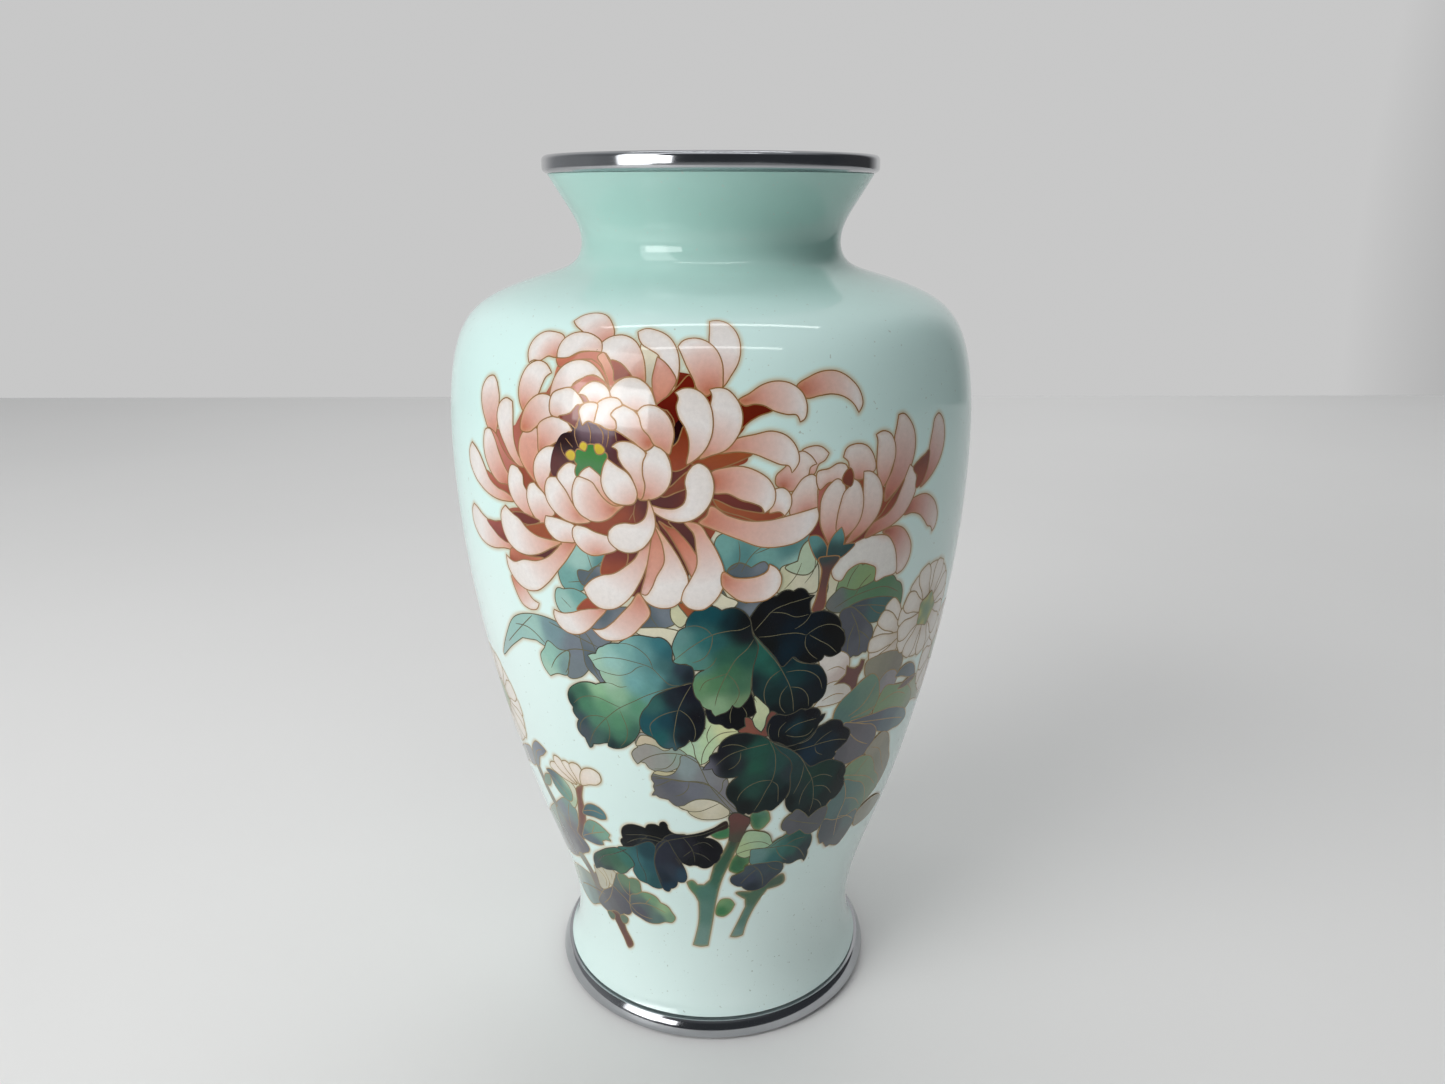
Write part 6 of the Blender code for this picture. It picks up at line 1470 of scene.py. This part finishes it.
petal("bloom_d4", (-27, 189), WHITE, "-31.5,190.8c -30,192.7 -27.8,193.9 -25.5,193.6 -23.6,192 "
      "-23.3,190.6 -25,190 -27,188.7 -28.3,189.2 -29.5,190.5", width=0.34)
petal("bloom_d6", (-22, 184), WHITE, "-27.2,184.7c -27.4,187.5 -26,189.5 -23.5,190.6 -21,190.2 "
      "-20.3,189.2 -22.1,188 -23,186.8 -21.8,185.5 -21.7,183.7 -24,183.6 -25.8,184.4", width=0.34)
petal("bloom_d5", (-27, 185), WHITE, "-31,187.2 -30,188.7 -28,189.3 -26.3,189 -26.6,186.8 "
      "-27.1,184.7c -28.6,185 -30,183.9c -30.6,185.5", width=0.34)
petal("bloom_c6", (-16.5, 168), LIGHT, "-22.7,179.7c -21.5,180.7 -19,181.1 -16.5,180.2 "
      "-14.7,178.5 -15.3,177 -15.5,174 -15,171 -16.2,168.1 -17,168.6 -17.3,171 -18.3,173.5 "
      "-20.3,175.8 -21.2,177.5 -21.4,179")
petal("bloom_c2", (-33, 166), WHITE, "-31.4,174.7c -33.5,175.2 -35.5,174 -37,171.7 -36.5,170 "
      "-34.8,167.9 -33.3,165.6 -32.4,167.5 -32.4,170 -31.3,172")
plain("bloom_florets", rgb(62, 128, 62), "-32,177.5 -31.3,178.5 -30,178.3 -28.8,179.7 -26.8,179.8 "
      "-26,178.3 -23.8,178 -23.7,176.8 -24.7,174.5 -25.3,172 -28.2,174 -30,172.5 -31,171.6 "
      "-32,172.8 -31.5,175 -32.3,176", rgb(48, 112, 56), width=0.3,
      replaced="great_bloom_florets")
plain("bloom_anther_west", rgb(218, 190, 62), "-34.5,177 -33,178.2 -31.9,177.6 -32.3,175.8 "
      "-33.5,175.8", width=0.26)
plain("bloom_anther_mid", rgb(222, 196, 70), "-30.8,179 -30,180.3 -28.8,179.9 -29.3,178.2",
      width=0.26)
plain("bloom_anther_east", rgb(218, 190, 62), "-26.8,180 -26,180.2 -24.3,178.7 -24.8,178 "
      "-26.3,177.8", width=0.26)
petal("bloom_c4", (-23, 166), PINK, "-31,172.1 -29.3,174.3 -28.2,174.8c -27,174 -25.3,172.5 "
      "-25,171 -24.1,168.8 -22.3,166.8 -20,166.2 -22.5,165.8 -25,167.6 -27,170.3 -29,171.3")
petal("bloom_c5", (-17.5, 166.5), WHITE, "-23.8,177c -21.5,175.5 -19,174 -17.3,171.3 -16.8,169 "
      "-17.6,167.1 -20,166.5 -22.3,166.9 -24.6,169 -25.4,171.5 -25.1,174 -24.4,176")
petal("bloom_c3", (-22, 165.5), PINK, "-33,167 -32.5,170.5 -31.5,172.1 -29.5,171.9 -27.5,171.1 "
      "-26.3,169.4 -24.5,167.4 -22.3,166.2 -20,166.4 -21.5,165 -23.5,163.1 -26,162 -29,162.1 "
      "-31.8,163.7")
petal("bloom_c1", (-31, 163.5), LIGHT, "-37.3,171.4c -39.5,171 -40.7,168.5 -40.3,165.5 "
      "-38.3,163 -35,161.2 -31.5,160.9 -28.5,161.8 -31,163.2 -33.2,166 -34.7,168.5 -36.3,170.3",
      replaced="great_bloom_inner_petals")
veins("-28,180 -28,183 -29,185; -25,180 -24.8,182.5 -26.5,184.5 -28.5,185; -24,179.5 -23.5,181.5 "
      "-23.6,183.8; -21.5,181 -22,183.8; -31,179 -32,182 -31.5,184.5; -32.5,178.8 -34.5,180.7; -34,176 "
      "-35.5,178 -35.8,179.5; -17.5,162.5 -17.8,164.5 -17.4,166.8; -19,163 -17.8,165", 0.22, LAYER * 0.4)
end_motif("great_bloom", WIRE_BROWN)

# ---------------------------------------------------------------- brown bleed in the ground
BLEED_PITCH = 0.55               # mm between the points of the bleed
BLEED_REACH = 2.0                # mm that it goes beyond the motifs
BLEED_OVERLAP = 1.2              # mm that it goes under them
BLEED_FADE = 1.6                 # mm over which the brown fades out
BLEED_TOP = 0.008                # mm that it lies over the ground
BLEED_STRENGTH = 0.8
NEIGHBOUR = 4.0                  # mm round an area within which outlines count


def bleed(name, low_x, high_x, low_y, high_y):
    """A skin of ground enamel round the motifs, browner towards their wires."""
    area_low = np.array([low_x, low_y]) - NEIGHBOUR
    area_high = np.array([high_x, high_y]) + NEIGHBOUR
    near_by = [entry for entry in laid if (entry[1] < area_high).all() and (entry[2] > area_low).all()]
    outline_points = np.concatenate([entry[0] for entry in near_by])
    finder = kdtree.KDTree(len(outline_points))
    for number, (x, y) in enumerate(outline_points):
        finder.insert((x, y, 0.0), number)
    finder.balance()
    xs = np.linspace(low_x, high_x, int(round((high_x - low_x) / BLEED_PITCH)) + 1)
    ys = np.linspace(low_y, high_y, int(round((high_y - low_y) / BLEED_PITCH)) + 1)
    grid = np.stack(np.meshgrid(xs, ys), axis=-1)
    covered = np.zeros(grid.shape[:2], bool)
    for loop, low, high, _ in near_by:
        i0, i1 = np.searchsorted(xs, (low[0], high[0]))
        j0, j1 = np.searchsorted(ys, (low[1], high[1]))
        block = grid[j0:j1, i0:i1]
        if block.size:
            covered[j0:j1, i0:i1] |= inside(block.reshape(-1, 2), loop).reshape(block.shape[:2])
    away = np.array([finder.find((x, y, 0.0))[2] for x, y in grid.reshape(-1, 2)])
    away = away.reshape(covered.shape)
    wanted = np.where(covered, away <= BLEED_OVERLAP, away < BLEED_REACH)
    away[covered] = 0.0
    index = -np.ones(covered.shape, int)
    quads, points, tints = [], [], []

    def corner(j, i):
        if index[j, i] < 0:
            index[j, i] = len(points)
            points.append(grid[j, i])
            tints.append(BLEED_STRENGTH * (1.0 - smoothstep(0.0, BLEED_FADE, away[j, i])) ** 1.7)
        return index[j, i]

    for j in range(len(ys) - 1):
        for i in range(len(xs) - 1):
            if wanted[j:j + 2, i:i + 2].all():
                quads.append((corner(j, i), corner(j, i + 1), corner(j + 1, i + 1), corner(j + 1, i)))
    colour = np.repeat(np.array(tints)[:, None], 3, axis=1)
    mesh = plate_mesh(name, np.array(points), quads, BLEED_TOP, colour, halo)
    finish_piece(bpy.data.objects.new(name, mesh))


bleed("bleed_bloom", -80.0, 20.0, 130.0, 214.0)
bleed("bleed_side", 20.0, 84.0, 100.0, 198.0)
bleed("bleed_west", -102.0, -20.0, 14.0, 130.0)
bleed("bleed_low", -20.0, 20.0, 20.0, 130.0)
bleed("bleed_east", 20.0, 84.0, 44.0, 100.0)


# ---------------------------------------------------------------- stage, light and camera
FLOOR_REACH = 4.0                # metres from the middle of the table to its edges
FLOOR_BACK = 1.0                 # metres behind the vase where the table ends
floor_mesh = bpy.data.meshes.new("stage_floor")
bm = bmesh.new()
bmesh.ops.create_grid(bm, x_segments=1, y_segments=1, size=FLOOR_REACH)
bmesh.ops.translate(bm, verts=bm.verts, vec=(0.0, FLOOR_BACK - FLOOR_REACH, 0.0))
bm.to_mesh(floor_mesh)
bm.free()
floor_mesh.materials.append(mottled("floor", (3.0, 3.0), (0.2, 0.8),
                                    ((0.78, 0.775, 0.765, 1.0), (0.82, 0.815, 0.805, 1.0)), 0.6))
floor = bpy.data.objects.new("stage_floor", floor_mesh)
bpy.context.scene.collection.objects.link(floor)

# name, place, height aimed at, (width, height), watts, gives soft light, shows in reflections
LAMPS = (
    ("window", (-0.78, -0.66, 0.58), 0.14, (0.5, 0.95), 3.6, True, True),
    ("pane", (-0.79, -0.906, 0.37), 0.215, (0.70, 0.34), 3.9, False, True),
    ("tube_front", (0.0, -0.86, 1.62), 0.2, (1.5, 0.10), 2.4, True, True),
    ("tube_over", (0.0, 0.26, 1.70), 0.2, (1.5, 0.10), 2.4, True, True),
    ("key", (-1.05, -0.85, 0.85), 0.12, (1.0, 1.0), 9.3, True, False),
    ("back", (0.4, 1.1, 0.9), 0.15, (1.0, 1.0), 3.0, True, False))
for name, place, aim, size, watts, soft, mirrored in LAMPS:
    data = bpy.data.lights.new(name, "AREA")
    data.shape = "RECTANGLE"
    data.size, data.size_y = size
    data.energy = watts
    lamp = bpy.data.objects.new(name, data)
    lamp.location = place
    lamp.rotation_euler = (Vector((0, 0, aim)) - Vector(place)).to_track_quat("-Z", "Y").to_euler()
    lamp.visible_diffuse = soft
    lamp.visible_glossy = mirrored
    bpy.context.scene.collection.objects.link(lamp)

DARK_ROOM = (0.06, 0.065, 0.072, 1.0)
ROOM_LEFT = (0.34, 0.35, 0.36, 1.0)
CEILING = (0.60, 0.62, 0.64, 1.0)
WALL = (0.80, 0.80, 0.80, 1.0)
WALL_LEFT = (0.42, 0.43, 0.44, 1.0)
WALL_RIGHT = (0.08, 0.08, 0.085, 1.0)
WORLD_STRENGTH = 0.72
bpy.context.scene.view_settings.view_transform = "Standard"
world = bpy.data.worlds.new("studio")
bpy.context.scene.world = world
world.use_nodes = True
sky = world.node_tree
facing = sky.nodes.new("ShaderNodeTexCoord")
axes = sky.nodes.new("ShaderNodeSeparateXYZ")
sky.links.new(facing.outputs["Generated"], axes.inputs["Vector"])
east, north, up = (axes.outputs[axis] for axis in "XYZ")
front = mixed(sky, ramp(sky, east, -1.0, -0.75), ROOM_LEFT, DARK_ROOM)
front = mixed(sky, ramp(sky, up, 0.45, 0.9), front, CEILING)
back = mixed(sky, ramp(sky, east, 0.5, 0.75), WALL, WALL_RIGHT)
back = mixed(sky, ramp(sky, east, -0.8, -0.55), WALL_LEFT, back)
room = mixed(sky, ramp(sky, north, -0.1, 0.5), front, back)
sky.links.new(room, sky.nodes["Background"].inputs["Color"])
sky.nodes["Background"].inputs["Strength"].default_value = WORLD_STRENGTH

CAMERA_PLACE = (0.0, -305.1 * MM, 235.8 * MM)
CAMERA_DOWN = 17.88              # degrees below level
CAMERA_LEFT = 0.575              # degrees left of straight ahead
camera_data = bpy.data.cameras.new("camera")
camera_data.sensor_width = 36.0
camera_data.lens = 27.0
camera = bpy.data.objects.new("camera", camera_data)
camera.location = CAMERA_PLACE
camera.rotation_euler = (math.radians(90.0 - CAMERA_DOWN), 0.0, math.radians(-CAMERA_LEFT))
bpy.context.scene.collection.objects.link(camera)
bpy.context.scene.camera = camera
